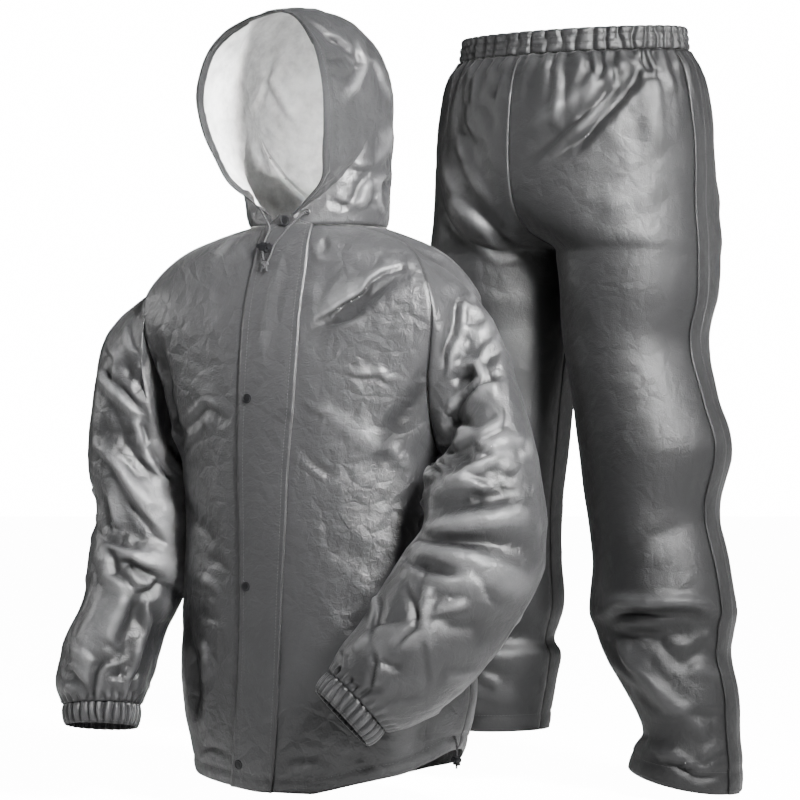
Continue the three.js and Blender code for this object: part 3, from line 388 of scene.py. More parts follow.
@dataclass(frozen=True)
class Drape:
    """How a piece's cloth is creased: lines that were read off one by one, and a fine crumple all over."""

    seen: tuple[Crease, ...] = ()  # on the side that faces the camera
    behind: tuple[Crease, ...] = ()  # on the other side
    inside: tuple[Crease, ...] = ()  # where the camera sees the cloth's inner side
    swells: tuple[tuple[float, ...], ...] = ()  # places in the round, each with a size and a height
    crumples: tuple[tuple[float, float], ...] = ((70.0, 1.6), (34.0, 0.8))  # size and height
    depth: float = 1.5  # how much deeper the listed lines are pressed than their tables say

    def lift(self, points: Array, normals: Array, noise: Noise) -> Array:
        """The height of all the creases.

        Args:
            points: The smooth cloth.
            normals: Its outward normals.
            noise: The seeded noise.

        Returns:
            A height for each point.
        """
        depth = (points[..., 1] - EYE[1]) / -EYE[1]
        wobble = np.stack([noise.at(points, 42.0), noise.at(points + 500.0, 42.0)], axis=-1) * 5.0
        across = EYE[0] + (points[..., 0] - EYE[0]) / depth + wobble[..., 0]
        up = EYE[2] + (points[..., 2] - EYE[2]) / depth + wobble[..., 1]
        facing = -np.sum(normals * unit(points - np.array(EYE)), axis=-1)
        front, back = smooth((facing + 0.05) / 0.35), smooth((0.05 - facing) / 0.35)
        total = np.zeros(points.shape[:-1])
        for crease in self.seen:
            total += front * crease.lift(across, up)
        for crease in self.inside:
            total += back * crease.lift(across, up)
        for crease in self.behind:
            total += back * crease.lift(points[..., 0] + wobble[..., 0], points[..., 2] + wobble[..., 1])
        total *= self.depth
        for x, y, z, size, height in self.swells:
            away = np.linalg.norm(points - np.array([x, y, z]), axis=-1)
            total += height * np.exp(-((away / size) ** 2))
        for size, height in self.crumples:
            total += height * noise.crumple(points, size)
        return total


# Cloth


class Cloth:
    """A grid of points on the middle of one cut piece, with a normal and a fold height at each; the fold
    height paints the cloth's light and shade.
    """

    def __init__(self, points: Array, closed: bool = False, pole: bool = False) -> None:
        """Finds the normals.

        Args:
            points: Rows by columns of places.
            closed: Whether the last column joins the first.
            pole: Whether the first row is one point.
        """
        self.points, self.closed, self.pole = points, closed, pole
        self.flip = False  # whether the outer side is the other one
        self.fold = np.zeros(points.shape[:2])
        self.hems_and_painted_shade: Optional[Array] = None  # where the inner side shows the coated cloth: a hem turned in, and painted shade by the armpits
        self.find_normals()

    def find_normals(self) -> None:
        """Sets the normals from the neighbours of each point, on the outer side."""
        p = self.points
        if self.closed:
            around = np.roll(p, -1, axis=1) - np.roll(p, 1, axis=1)
        else:
            around = np.gradient(p, axis=1)
        down = np.gradient(p, axis=0)
        n = unit(np.cross(around, down))
        if self.pole:
            n[0] = unit(n[1].mean(axis=0))
        middle = p.reshape(-1, 3).mean(axis=0)
        self.flipped = bool(np.sum(n * (p - middle)) < 0) != self.flip
        self.normals = -n if self.flipped else n

    def raised(self, heights: Array) -> "Cloth":
        """Moves each point along its normal.

        Args:
            heights: How far.

        Returns:
            The cloth itself.
        """
        self.points = self.points + self.normals * heights[..., None]
        # The heights are also kept, to paint light on the ridges and shade in the troughs.
        self.fold = self.fold + heights
        self.find_normals()
        return self

    def draped(self, drape: Drape, noise: Noise, calm: Array) -> "Cloth":
        """Creases the cloth.

        Args:
            drape: Its creases.
            noise: The seeded noise.
            calm: How freely each point moves, from 0 to 1.

        Returns:
            The cloth itself.
        """
        return self.raised(drape.lift(self.points, self.normals, noise) * calm)

    def place(self, row: Array, column: Array) -> tuple[Array, Array]:
        """Points and normals between the grid's lines.

        Args:
            row: Rows of the grid, with fractions.
            column: Columns of the grid, with fractions.

        Returns:
            The points and the normals.
        """
        row, column = np.broadcast_arrays(np.asarray(row, float), np.asarray(column, float))
        rows, columns = self.points.shape[:2]
        r = np.clip(np.floor(row), 0, rows - 2).astype(int)
        top = columns if self.closed else columns - 1
        c = np.clip(np.floor(column), 0, top - 1).astype(int)
        fr, fc = np.clip(row - r, 0, 1)[..., None], np.clip(column - c, 0, 1)[..., None]
        c2 = (c + 1) % columns

        def blend(grid: Array) -> Array:
            """Reads a grid between its lines."""
            upper = grid[r, c] * (1 - fc) + grid[r, c2] * fc
            lower = grid[r + 1, c] * (1 - fc) + grid[r + 1, c2] * fc
            return upper * (1 - fr) + lower * fr

        return blend(self.points), unit(blend(self.normals))

    def lengths(self) -> tuple[Array, Array]:
        """How far each point lies along its row and down its column."""
        across = np.linalg.norm(np.diff(self.points, axis=1), axis=2)
        down = np.linalg.norm(np.diff(self.points, axis=0), axis=2)
        u = np.concatenate([np.zeros((across.shape[0], 1)), np.cumsum(across, axis=1)], axis=1)
        v = np.concatenate([np.zeros((1, down.shape[1])), np.cumsum(down, axis=0)], axis=0)
        return u, v

    def from_edge(self) -> Array:
        """How far each point lies from the nearest cut edge."""
        edges = [self.points[-1:]]
        if not self.pole:
            edges.append(self.points[:1])
        if not self.closed:
            edges += [self.points[:, :1], self.points[:, -1:]]
        return np.min([np.linalg.norm(self.points - edge, axis=-1) for edge in edges], axis=0)

    def built(
        self, name: str, outer: "Finish", inner: "Finish", thickness: float = CLOTH
    ) -> bpy.types.Object:
        """The closed wall of this cloth as an object.

        Args:
            name: The object's name.
            outer: The finish of its outer side and edges.
            inner: The finish of its inner side.
            thickness: Of the wall.

        Returns:
            The object.
        """
        rows, columns = self.points.shape[:2]
        half = self.normals * thickness / 2
        places = np.concatenate([(self.points + half).reshape(-1, 3), (self.points - half).reshape(-1, 3)])
        count = rows * columns
        wrap = columns if self.closed else columns - 1
        r, c = np.meshgrid(np.arange(rows - 1), np.arange(wrap), indexing="ij")
        c2 = (c + 1) % columns
        this, below = r * columns, (r + 1) * columns
        quad = np.stack([this + c, this + c2, below + c2, below + c], axis=-1).reshape(-1, 4)
        out, inn = quad, quad[:, ::-1] + count
        rims = []
        line = np.arange(wrap)
        line2 = (line + 1) % columns
        if not self.pole:
            rims.append(np.stack([line2, line, line + count, line2 + count], axis=-1))
        low, low2 = (rows - 1) * columns + line, (rows - 1) * columns + line2
        rims.append(np.stack([low, low2, low2 + count, low + count], axis=-1))
        if not self.closed:
            a = np.arange(rows - 1) * columns
            rims.append(np.stack([a, a + columns, a + columns + count, a + count], axis=-1))
            b = a + columns - 1
            rims.append(np.stack([b + columns, b, b + count, b + columns + count], axis=-1))
        rim = np.concatenate(rims)
        faces = np.concatenate([out, inn, rim])
        if self.flipped:
            faces = faces[:, ::-1]
        lining = np.ones(len(inn), int)
        if self.hems_and_painted_shade is not None:
            lining[self.hems_and_painted_shade[r, c].reshape(-1)] = 0
        kinds = np.concatenate([np.zeros(len(out), int), lining, np.zeros(len(rim), int)])
        u, v = self.lengths()
        flat = np.stack([u, v], axis=-1).reshape(-1, 2) / 1000.0
        # Painted light and shade from the fold height: crease ridges lighter and troughs darker. The colour
        # is also darker along the cut edges.
        tone = 3.0 * np.tanh(self.fold / 6.5) - 2.6 * np.exp(-((self.from_edge() / 3.4) ** 2))
        fold = np.tile(tone.reshape(-1), 2)
        return mesh_object(name, places, faces, (outer, inner), kinds, np.concatenate([flat, flat]), fold)


def mesh_object(
    name: str,
    places: Array,
    faces: Sequence[Sequence[int]],
    finishes: Sequence["Finish"],
    kinds: Array,
    flat: Array,
    fold: Array,
) -> bpy.types.Object:
    """A smooth-shaded object from points in millimetres.

    Args:
        name: The object's name.
        places: Its points.
        faces: Its faces, each as a list of points.
        finishes: Its materials, in order.
        kinds: Which finish each face has.
        flat: A place on the flat cloth for each point, in metres.
        fold: The painted light and shade of each point, from its fold height: lighter on crease ridges,
            darker in troughs and along cut edges.

    Returns:
        The object, at the origin.
    """
    mesh = bpy.data.meshes.new(name)
    mesh.from_pydata((np.asarray(places) / 1000.0).tolist(), [], np.asarray(faces).tolist())
    mesh.polygons.foreach_set("material_index", np.asarray(kinds, np.int32))
    mesh.polygons.foreach_set("use_smooth", np.ones(len(mesh.polygons), bool))
    corner = np.empty(len(mesh.loops), np.int32)
    mesh.loops.foreach_get("vertex_index", corner)
    layer = mesh.uv_layers.new(name="flat_cloth")
    layer.data.foreach_set("uv", np.asarray(flat, np.float32)[corner].reshape(-1))
    heights = mesh.attributes.new("fold", "FLOAT", "POINT")
    heights.data.foreach_set("value", np.asarray(fold, np.float32))
    mesh.update()
    made = bpy.data.objects.new(name, mesh)
    bpy.context.collection.objects.link(made)
    for finish in finishes:
        mesh.materials.append(finish.material())
    return made


# Finishes


def linear(colour: str) -> tuple[float, float, float, float]:
    """An sRGB hex colour as Blender's linear one.

    Args:
        colour: Six hex digits.

    Returns:
        Red, green, blue and one.
    """
    parts = [int(colour[i : i + 2], 16) / 255.0 for i in (0, 2, 4)]
    bent = [p / 12.92 if p <= 0.04045 else ((p + 0.055) / 1.055) ** 2.4 for p in parts]
    return (bent[0], bent[1], bent[2], 1.0)


class Nodes:
    """A material's node tree, filled one node at a time."""

    def __init__(self, name: str) -> None:
        """Starts an empty tree.

        Args:
            name: The material's name.
        """
        self.material = bpy.data.materials.new(name)
        self.material.use_nodes = True
        self.tree = self.material.node_tree
        self.tree.nodes.clear()

    def add(self, kind: str, links: Optional[dict] = None, **settings: object) -> bpy.types.Node:
        """Adds a node.

        Args:
            kind: The node's type, without its ShaderNode.
            links: What goes into each input, a socket or a plain value, by the input's name or number.
            settings: The node's own settings.

        Returns:
            The node.
        """
        node = self.tree.nodes.new("ShaderNode" + kind)
        for key, value in settings.items():
            setattr(node, key, value)
        for key, value in (links or {}).items():
            socket = node.inputs[key]
            if isinstance(value, bpy.types.NodeSocket):
                self.tree.links.new(value, socket)
            else:
                socket.default_value = value
        return node

    def ramp(self, factor: bpy.types.NodeSocket, stops: Sequence[tuple[float, str]]) -> bpy.types.NodeSocket:
        """Colours a factor.

        Args:
            factor: The socket to colour.
            stops: Places from 0 to 1, each with a hex colour.

        Returns:
            The colour socket.
        """
        node = self.add("ValToRGB", {"Fac": factor})
        steps = node.color_ramp.elements
        while len(steps) < len(stops):
            steps.new(0.5)
        for step, (place, colour) in zip(steps, stops):
            step.position, step.color = place, linear(colour)
        return node.outputs["Color"]

    def finish(self, shader: bpy.types.Node) -> bpy.types.Material:
        """Joins the shader to the output.

        Args:
            shader: The last shader.

        Returns:
            The material.
        """
        self.add("OutputMaterial", {"Surface": shader.outputs[0]})
        return self.material


class Finish:
    """Something that makes its material once."""

    name: str

    def material(self) -> bpy.types.Material:
        """The material, made when it is first asked for."""
        return bpy.data.materials.get(self.name) or self.make()

    def make(self) -> bpy.types.Material:
        """Makes the material."""
        raise NotImplementedError


@dataclass(frozen=True)
class CoatedCloth(Finish):
    """Coated polyester, calendered: a dim satin gloss over a fine grain, with a painted highlight on crease
    ridges and painted shade in crease troughs.
    """

    name: str
    # The first colour is painted shade in the crease troughs, the second the cloth's own colour, the third a
    # painted highlight on the crease ridges.
    trough_shade: str
    flat: str
    ridge_highlight: str
    roughness: float = 0.42
    crushed: float = 0.5  # how strongly the fine crinkles show
    facet: float = 30.0  # millimetres across the flats between crinkles
    grain: float = 1.4  # millimetres; the real threads are about 0.4 apart, too fine to show

    def make(self) -> bpy.types.Material:
        """Makes the material."""
        n = Nodes(self.name)
        at = n.add("TexCoord").outputs["Object"]
        fold = n.add("Attribute", attribute_name="fold").outputs["Fac"]
        mottle = n.add("TexNoise", {"Vector": at, "Scale": 1000 / 38.0, "Detail": 5.0, "Roughness": 0.6})
        # The fold attribute paints light and shade: lighter on crease ridges, darker in troughs and along
        # cut edges; the mottle is the cloth's own uneven tone.
        height = n.add("MapRange", {"Value": fold, "From Min": -2.8, "From Max": 3.4})
        tone = n.add("Math", {0: mottle.outputs["Fac"], 1: 0.3, 2: 0.35}, operation="MULTIPLY_ADD")
        tone = n.add("Math", {0: height.outputs[0], 1: 0.8, 2: tone.outputs[0]}, operation="MULTIPLY_ADD")
        tone = n.add("Math", {0: tone.outputs[0], 1: 0.42}, operation="SUBTRACT")
        colour = n.ramp(tone.outputs[0], [(0.0, self.trough_shade), (0.5, self.flat), (1.0, self.ridge_highlight)])
        grain = n.add(
            "TexNoise",
            {"Vector": at, "Scale": 1000 / self.grain, "Detail": 3.0, "Roughness": 0.65},
        )
        speck = n.add("MapRange", {"Value": grain.outputs["Fac"], "To Min": 0.72, "To Max": 1.28})
        speckled = n.add("VectorMath", {0: colour, 1: speck.outputs[0]}, operation="MULTIPLY")
        wear = n.add("TexNoise", {"Vector": at, "Scale": 1000 / 9.0, "Detail": 4.0, "Distortion": 0.6})
        rough = n.add(
            "MapRange",
            {"Value": wear.outputs["Fac"], "To Min": self.roughness - 0.09, "To Max": self.roughness + 0.12},
        )
        drift = n.add("TexNoise", {"Vector": at, "Scale": 1000 / 45.0, "Detail": 2.0})
        bent = n.add(
            "VectorMath",
            {0: drift.outputs["Color"], 1: (0.03, 0.03, 0.03), 2: at},
            operation="MULTIPLY_ADD",
        )
        facet = n.add(
            "TexVoronoi",
            {"Vector": bent.outputs[0], "Scale": 1000 / self.facet},
            feature="DISTANCE_TO_EDGE",
        )
        crinkle = n.add("TexNoise", {"Vector": at, "Scale": 1000 / 11.0, "Detail": 3.0, "Distortion": 0.9})
        crinkled = n.add("Math", {0: crinkle.outputs["Fac"], 1: 0.5}, operation="SUBTRACT")
        crinkled = n.add("Math", {0: crinkled.outputs[0]}, operation="ABSOLUTE")
        crushed = {"Strength": self.crushed}
        broad = n.add("Bump", {"Height": facet.outputs["Distance"], "Distance": 0.005, **crushed})
        low = n.add(
            "Bump",
            {"Height": crinkled.outputs[0], "Distance": 0.0026, "Normal": broad.outputs[0], **crushed},
        )
        fine = n.add(
            "Bump",
            {"Height": grain.outputs["Fac"], "Strength": 0.6, "Distance": 0.0006, "Normal": low.outputs[0]},
        )
        shader = n.add(
            "BsdfPrincipled",
            {
                "Base Color": speckled.outputs[0],
                "Roughness": rough.outputs[0],
                "Normal": fine.outputs[0],
                "IOR": 1.5,
                "Specular IOR Level": 0.5,
                "Sheen Weight": 0.06,
                "Sheen Roughness": 0.45,
            },
        )
        return n.finish(shader)


@dataclass(frozen=True)
class FleeceBacking(Finish):
    """The white non-woven backing of the coated cloth: dull, with a soft nap and faint grey pressings."""

    name: str = "non-woven fleece backing"
    low: str = "c2c2c1"
    high: str = "f1f1f0"
    nap: float = 2.2  # millimetres between tufts

    def make(self) -> bpy.types.Material:
        """Makes the material."""
        n = Nodes(self.name)
        at = n.add("TexCoord").outputs["Object"]
        cloud = n.add("TexNoise", {"Vector": at, "Scale": 1000 / 26.0, "Detail": 5.0, "Roughness": 0.65})
        colour = n.ramp(cloud.outputs["Fac"], [(0.3, self.low), (0.62, self.high)])
        nap = n.add("TexNoise", {"Vector": at, "Scale": 1000 / self.nap, "Detail": 4.0, "Roughness": 0.7})
        bump = n.add("Bump", {"Height": nap.outputs["Fac"], "Strength": 0.5, "Distance": 0.0006})
        shader = n.add(
            "BsdfPrincipled",
            {
                "Base Color": colour,
                "Roughness": 0.93,
                "Normal": bump.outputs[0],
                "Sheen Weight": 0.3,
                "IOR": 1.4,
            },
        )
        return n.finish(shader)


@dataclass(frozen=True)
class MouldedPlastic(Finish):
    """Injection-moulded acetal: near black, with a soft gloss and a slightly uneven skin."""

    name: str = "moulded black acetal"
    dark: str = "050506"
    pale: str = "141416"

    def make(self) -> bpy.types.Material:
        """Makes the material."""
        n = Nodes(self.name)
        at = n.add("TexCoord").outputs["Object"]
        skin = n.add("TexNoise", {"Vector": at, "Scale": 1000 / 1.1, "Detail": 3.0})
        colour = n.ramp(skin.outputs["Fac"], [(0.3, self.dark), (0.75, self.pale)])
        rough = n.add("MapRange", {"Value": skin.outputs["Fac"], "To Min": 0.26, "To Max": 0.46})
        bump = n.add("Bump", {"Height": skin.outputs["Fac"], "Strength": 0.15, "Distance": 0.0002})
        shader = n.add(
            "BsdfPrincipled",
            {
                "Base Color": colour,
                "Roughness": rough.outputs[0],
                "Normal": bump.outputs[0],
                "IOR": 1.48,
                "Specular IOR Level": 0.25,
            },
        )
        return n.finish(shader)


@dataclass(frozen=True)
class BraidedCord(Finish):
    """Braided polyester cord: black, dull, with the strands' slanting ridges."""

    name: str = "braided polyester cord"
    dark: str = "0b0b0c"
    pale: str = "2e2e30"
    strand: float = 1.1  # millimetres between strands, drawn a little coarse to show

    def make(self) -> bpy.types.Material:
        """Makes the material."""
        n = Nodes(self.name)
        at = n.add("TexCoord").outputs["Object"]
        strands = n.add(
            "TexWave",
            {"Vector": at, "Scale": 1000 / self.strand / 6.28, "Distortion": 2.0},
            bands_direction="DIAGONAL",
        )
        colour = n.ramp(strands.outputs["Fac"], [(0.2, self.dark), (0.9, self.pale)])
        bump = n.add("Bump", {"Height": strands.outputs["Fac"], "Strength": 0.6, "Distance": 0.0003})
        shader = n.add(
            "BsdfPrincipled",
            {"Base Color": colour, "Roughness": 0.78, "Normal": bump.outputs[0]},
        )
        return n.finish(shader)


@dataclass(frozen=True)
class Thread(Finish):
    """Polyester sewing thread, spun: a shade paler than the cloth, with a faint sheen."""

    name: str
    dark: str
    pale: str

    def make(self) -> bpy.types.Material:
        """Makes the material."""
        n = Nodes(self.name)
        at = n.add("TexCoord").outputs["Object"]
        twist = n.add("TexNoise", {"Vector": at, "Scale": 1000 / 0.7, "Detail": 2.0})
        colour = n.ramp(twist.outputs["Fac"], [(0.3, self.dark), (0.7, self.pale)])
        shader = n.add("BsdfPrincipled", {"Base Color": colour, "Roughness": 0.6, "Sheen Weight": 0.1})
        return n.finish(shader)


@dataclass(frozen=True)
class StudioPaper(Finish):
    """Matt white background paper, faintly mottled."""

    name: str = "matt white background paper"
    glow: float = 14.0  # towards the camera only, so that the paper prints white and doesn't light the suit

    def make(self) -> bpy.types.Material:
        """Makes the material."""
        n = Nodes(self.name)
        at = n.add("TexCoord").outputs["Object"]
        fibre = n.add("TexNoise", {"Vector": at, "Scale": 30.0, "Detail": 3.0})
        colour = n.ramp(fibre.outputs["Fac"], [(0.3, "f4f4f4"), (0.7, "fafafa")])
        seen = n.add("LightPath").outputs["Is Camera Ray"]
        glow = n.add("Math", {0: seen, 1: self.glow}, operation="MULTIPLY")
        shader = n.add(
            "BsdfPrincipled",
            {
                "Base Color": colour,
                "Roughness": 0.95,
                "Emission Color": linear("ffffff"),
                "Emission Strength": glow.outputs[0],
            },
        )
        return n.finish(shader)


# Each cloth's three colours: painted shade in the crease troughs, the cloth's own colour, and a painted
# highlight on the ridges.
JACKET_CLOTH = CoatedCloth("coated cloth, jacket", "020203", "29292a", "6a6a6b", roughness=0.37)
TROUSER_CLOTH = CoatedCloth(
    "coated cloth, trousers", "010102", "121213", "3a3a3b", roughness=0.5, crushed=0.25
)
FLEECE = FleeceBacking()
ACETAL = MouldedPlastic()
CORD = BraidedCord()
JACKET_THREAD = Thread("spun polyester thread, jacket", "2a2a2b", "565657")
TROUSER_THREAD = Thread("spun polyester thread, trousers", "1c1c1d", "434344")


# Stitching


@dataclass
class Stitching:
    """Rows of stitches, gathered from many seams and built as one piece."""

    name: str
    finish: Finish
    length: float = 3.1
    pitch: float = 4.4
    width: float = 0.55
    places: list = field(default_factory=list)
    faces: list = field(default_factory=list)

    def sew(self, points: Array, normals: Array, lift: float = CLOTH / 2 + 0.12) -> None:
        """Adds a row of stitches.

        Args:
            points: The seam's line on the middle of the cloth.
            normals: The cloth's normals along it.
            lift: How far the thread lies out from the line.
        """
        gone = np.concatenate([[0.0], np.cumsum(np.linalg.norm(np.diff(points, axis=0), axis=1))])
        ring = [(1.0, 0.0), (0.0, 0.75), (-1.0, 0.0), (0.0, -0.75)]
        for start in np.arange(1.0, gone[-1] - self.length, self.pitch):
            at = [start, start + self.length * 0.2, start + self.length * 0.8, start + self.length]
            line = np.stack([np.interp(at, gone, points[:, k]) for k in range(3)], axis=-1)
            out = unit(np.stack([np.interp(at, gone, normals[:, k]) for k in range(3)], axis=-1))
            way = unit(line[3] - line[0])
            base = len(self.places)
            centre = line + out * np.array([lift - 0.3, lift, lift, lift - 0.3])[:, None]
            across = unit(np.cross(out[1], way))
            self.places.append(centre[0])
            for k in (1, 2):
                for side, high in ring:
                    self.places.append(centre[k] + (across * side + out[k] * high) * self.width / 2)
            self.places.append(centre[3])
            for k in range(4):
                a, b = base + 1 + k, base + 1 + (k + 1) % 4
                self.faces += [(base, b, a), (a, b, b + 4, a + 4), (a + 4, b + 4, base + 9)]

    def built(self) -> bpy.types.Object:
        """The stitches as one object."""
        mesh = bpy.data.meshes.new(self.name)
        mesh.from_pydata((np.array(self.places) / 1000.0).tolist(), [], self.faces)
        mesh.polygons.foreach_set("use_smooth", np.ones(len(mesh.polygons), bool))
        mesh.materials.append(self.finish.material())
        made = bpy.data.objects.new(self.name, mesh)
        bpy.context.collection.objects.link(made)
        outward(made)
        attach(made, "root")
        return made


def outward(made: bpy.types.Object) -> None:
    """Turns all faces outwards.

    Args:
        made: A closed piece, or several in one mesh.
    """
    bpy.ops.object.select_all(action="DESELECT")
    bpy.context.view_layer.objects.active = made
    made.select_set(True)
    bpy.ops.object.mode_set(mode="EDIT")
    bpy.ops.mesh.select_all(action="SELECT")
    bpy.ops.mesh.normals_make_consistent(inside=False)
    bpy.ops.object.mode_set(mode="OBJECT")
    made.select_set(False)


def fine(stops: Sequence[float], steps: Sequence[int]) -> Array:
    """Grid lines between coarse ones.

    Args:
        stops: The coarse lines.
        steps: How many fine steps lie between each two.

    Returns:
        All the lines.
    """
    parts = [np.linspace(a, b, n, endpoint=False) for a, b, n in zip(stops[:-1], stops[1:], steps)]
    return np.concatenate([*parts, [stops[-1]]])


# The jacket

BODY = Table(
    "z shift half backHalf front back frontSeam backSeam turn",
    (5, 0, 87, 86, 95, 93, 38, 40, 66),
    (-22, -3, 162, 152, 106, 98, 53, 60, 70),
    (-48, -5, 194, 184, 114, 106, 70, 77, 70),
    (-86, -6, 217, 207, 127, 118, 88, 94, 66),
    (-122, -6, 222, 212, 136, 128, 90, 98, 66),
    (-160, -5, 215, 209, 142, 134, 84, 92, 68),
    (-200, -4, 206, 203, 147, 138, 74, 80, 72),
    (-250, -3, 199, 198, 150, 138, 55, 60, 78),
    (-290, -3, 196, 195, 151, 136, 30, 32, 84),
    (-325, -2, 194, 194, 152, 134, 0, 0, 90),
    (-400, 2, 194, 194, 152, 129, 0, 0, 90),
    (-500, 7, 203, 203, 152, 127, 0, 0, 90),
    (-600, 15, 212, 212, 155, 128, 0, 0, 90),
    (-680, 20, 210, 210, 157, 131, 0, 0, 90),
    (-725, 20, 201, 201, 155, 130, 0, 0, 90),
    (-757, 17, 193, 193, 150, 126, 0, 0, 90),
)
# Where the hem rises towards a side: the side's sign, start, width, rise and power.
HEM_LIFT = ((1, 67, 120, 30, 1), (1, 167, 42, 23, 2), (-1, 15, 165, 16, 1))
CLOSURE = Table(
    "z meeting right left",
    (5, 2, -34, 38),
    (-66, 6, -36, 48),
    (-194, 3, -40, 46),
    (-364, -7, -44, 31),
    (-530, -19, -52, 14),
    (-726, -40, -75, -6),
    (-757, -42, -77, -8),
)
ARM_ROWS = 9  # rows of the body above and below the underarm
FRONT_COLUMNS = 6
SHOULDER_COLUMNS = 2


def body_height(row: Array) -> Array:
    """The height of a row of the body, where rows stand close together over the shoulder."""
    row = np.asarray(row, float)
    above = NECK_HEIGHT + (UNDERARM - NECK_HEIGHT) * (np.clip(row, 0, ARM_ROWS) / ARM_ROWS) ** 1.25
    return np.where(row <= ARM_ROWS, above, UNDERARM + (HEM - UNDERARM) * (row - ARM_ROWS) / ARM_ROWS)


def body_row(z: Array) -> Array:
    """The row of the body at a height."""
    rows = np.linspace(0, 2 * ARM_ROWS, 400)
    return np.interp(-np.asarray(z, float), -body_height(rows), rows)


def body_point(row: Array, share: Array, face: Face) -> Array:
    """A point of the jacket's body.

    Args:
        row: From 0 at the neck to 18 at the hem.
        share: From -1 at the wearer's right seam to 1 at the left one.
        face: Front or back.

    Returns:
        The point in the suit's frame.
    """
    row, share = np.broadcast_arrays(np.asarray(row, float), np.asarray(share, float))
    z = body_height(row)
    front = face is Face.FRONT
    turn = np.radians(BODY.read("turn", z))
    half = BODY.read("half" if front else "backHalf", z)
    depth = BODY.read("front" if front else "back", z)
    seam = np.where(row < ARM_ROWS, BODY.read("frontSeam" if front else "backSeam", z), 0.0)
    angle = share * turn
    x = half * np.sin(angle) / np.sin(turn) + BODY.read("shift", z)
    y = seam + (depth - seam) * (np.cos(angle) - np.cos(turn)) / (1 - np.cos(turn))
    lift = sum(
        rise * np.clip((sign * x - start) / width, 0, 1) ** power
        for sign, start, width, rise, power in HEM_LIFT
    )
    low = smooth((UNDERARM - z) / (UNDERARM - HEM))
    return turned(x, -y if front else y, z + lift * low, JACKET_YAW, JACKET_CENTRE)


def closure_share(z: Array, line: str) -> Array:
    """The share of the body's width at which a line of the closure runs.

    Args:
        z: The height.
        line: meeting, right or left.

    Returns:
        The share.
    """
    turn = np.radians(BODY.read("turn", z))
    return np.arcsin(CLOSURE.read(line, z) * np.sin(turn) / BODY.read("half", z)) / turn


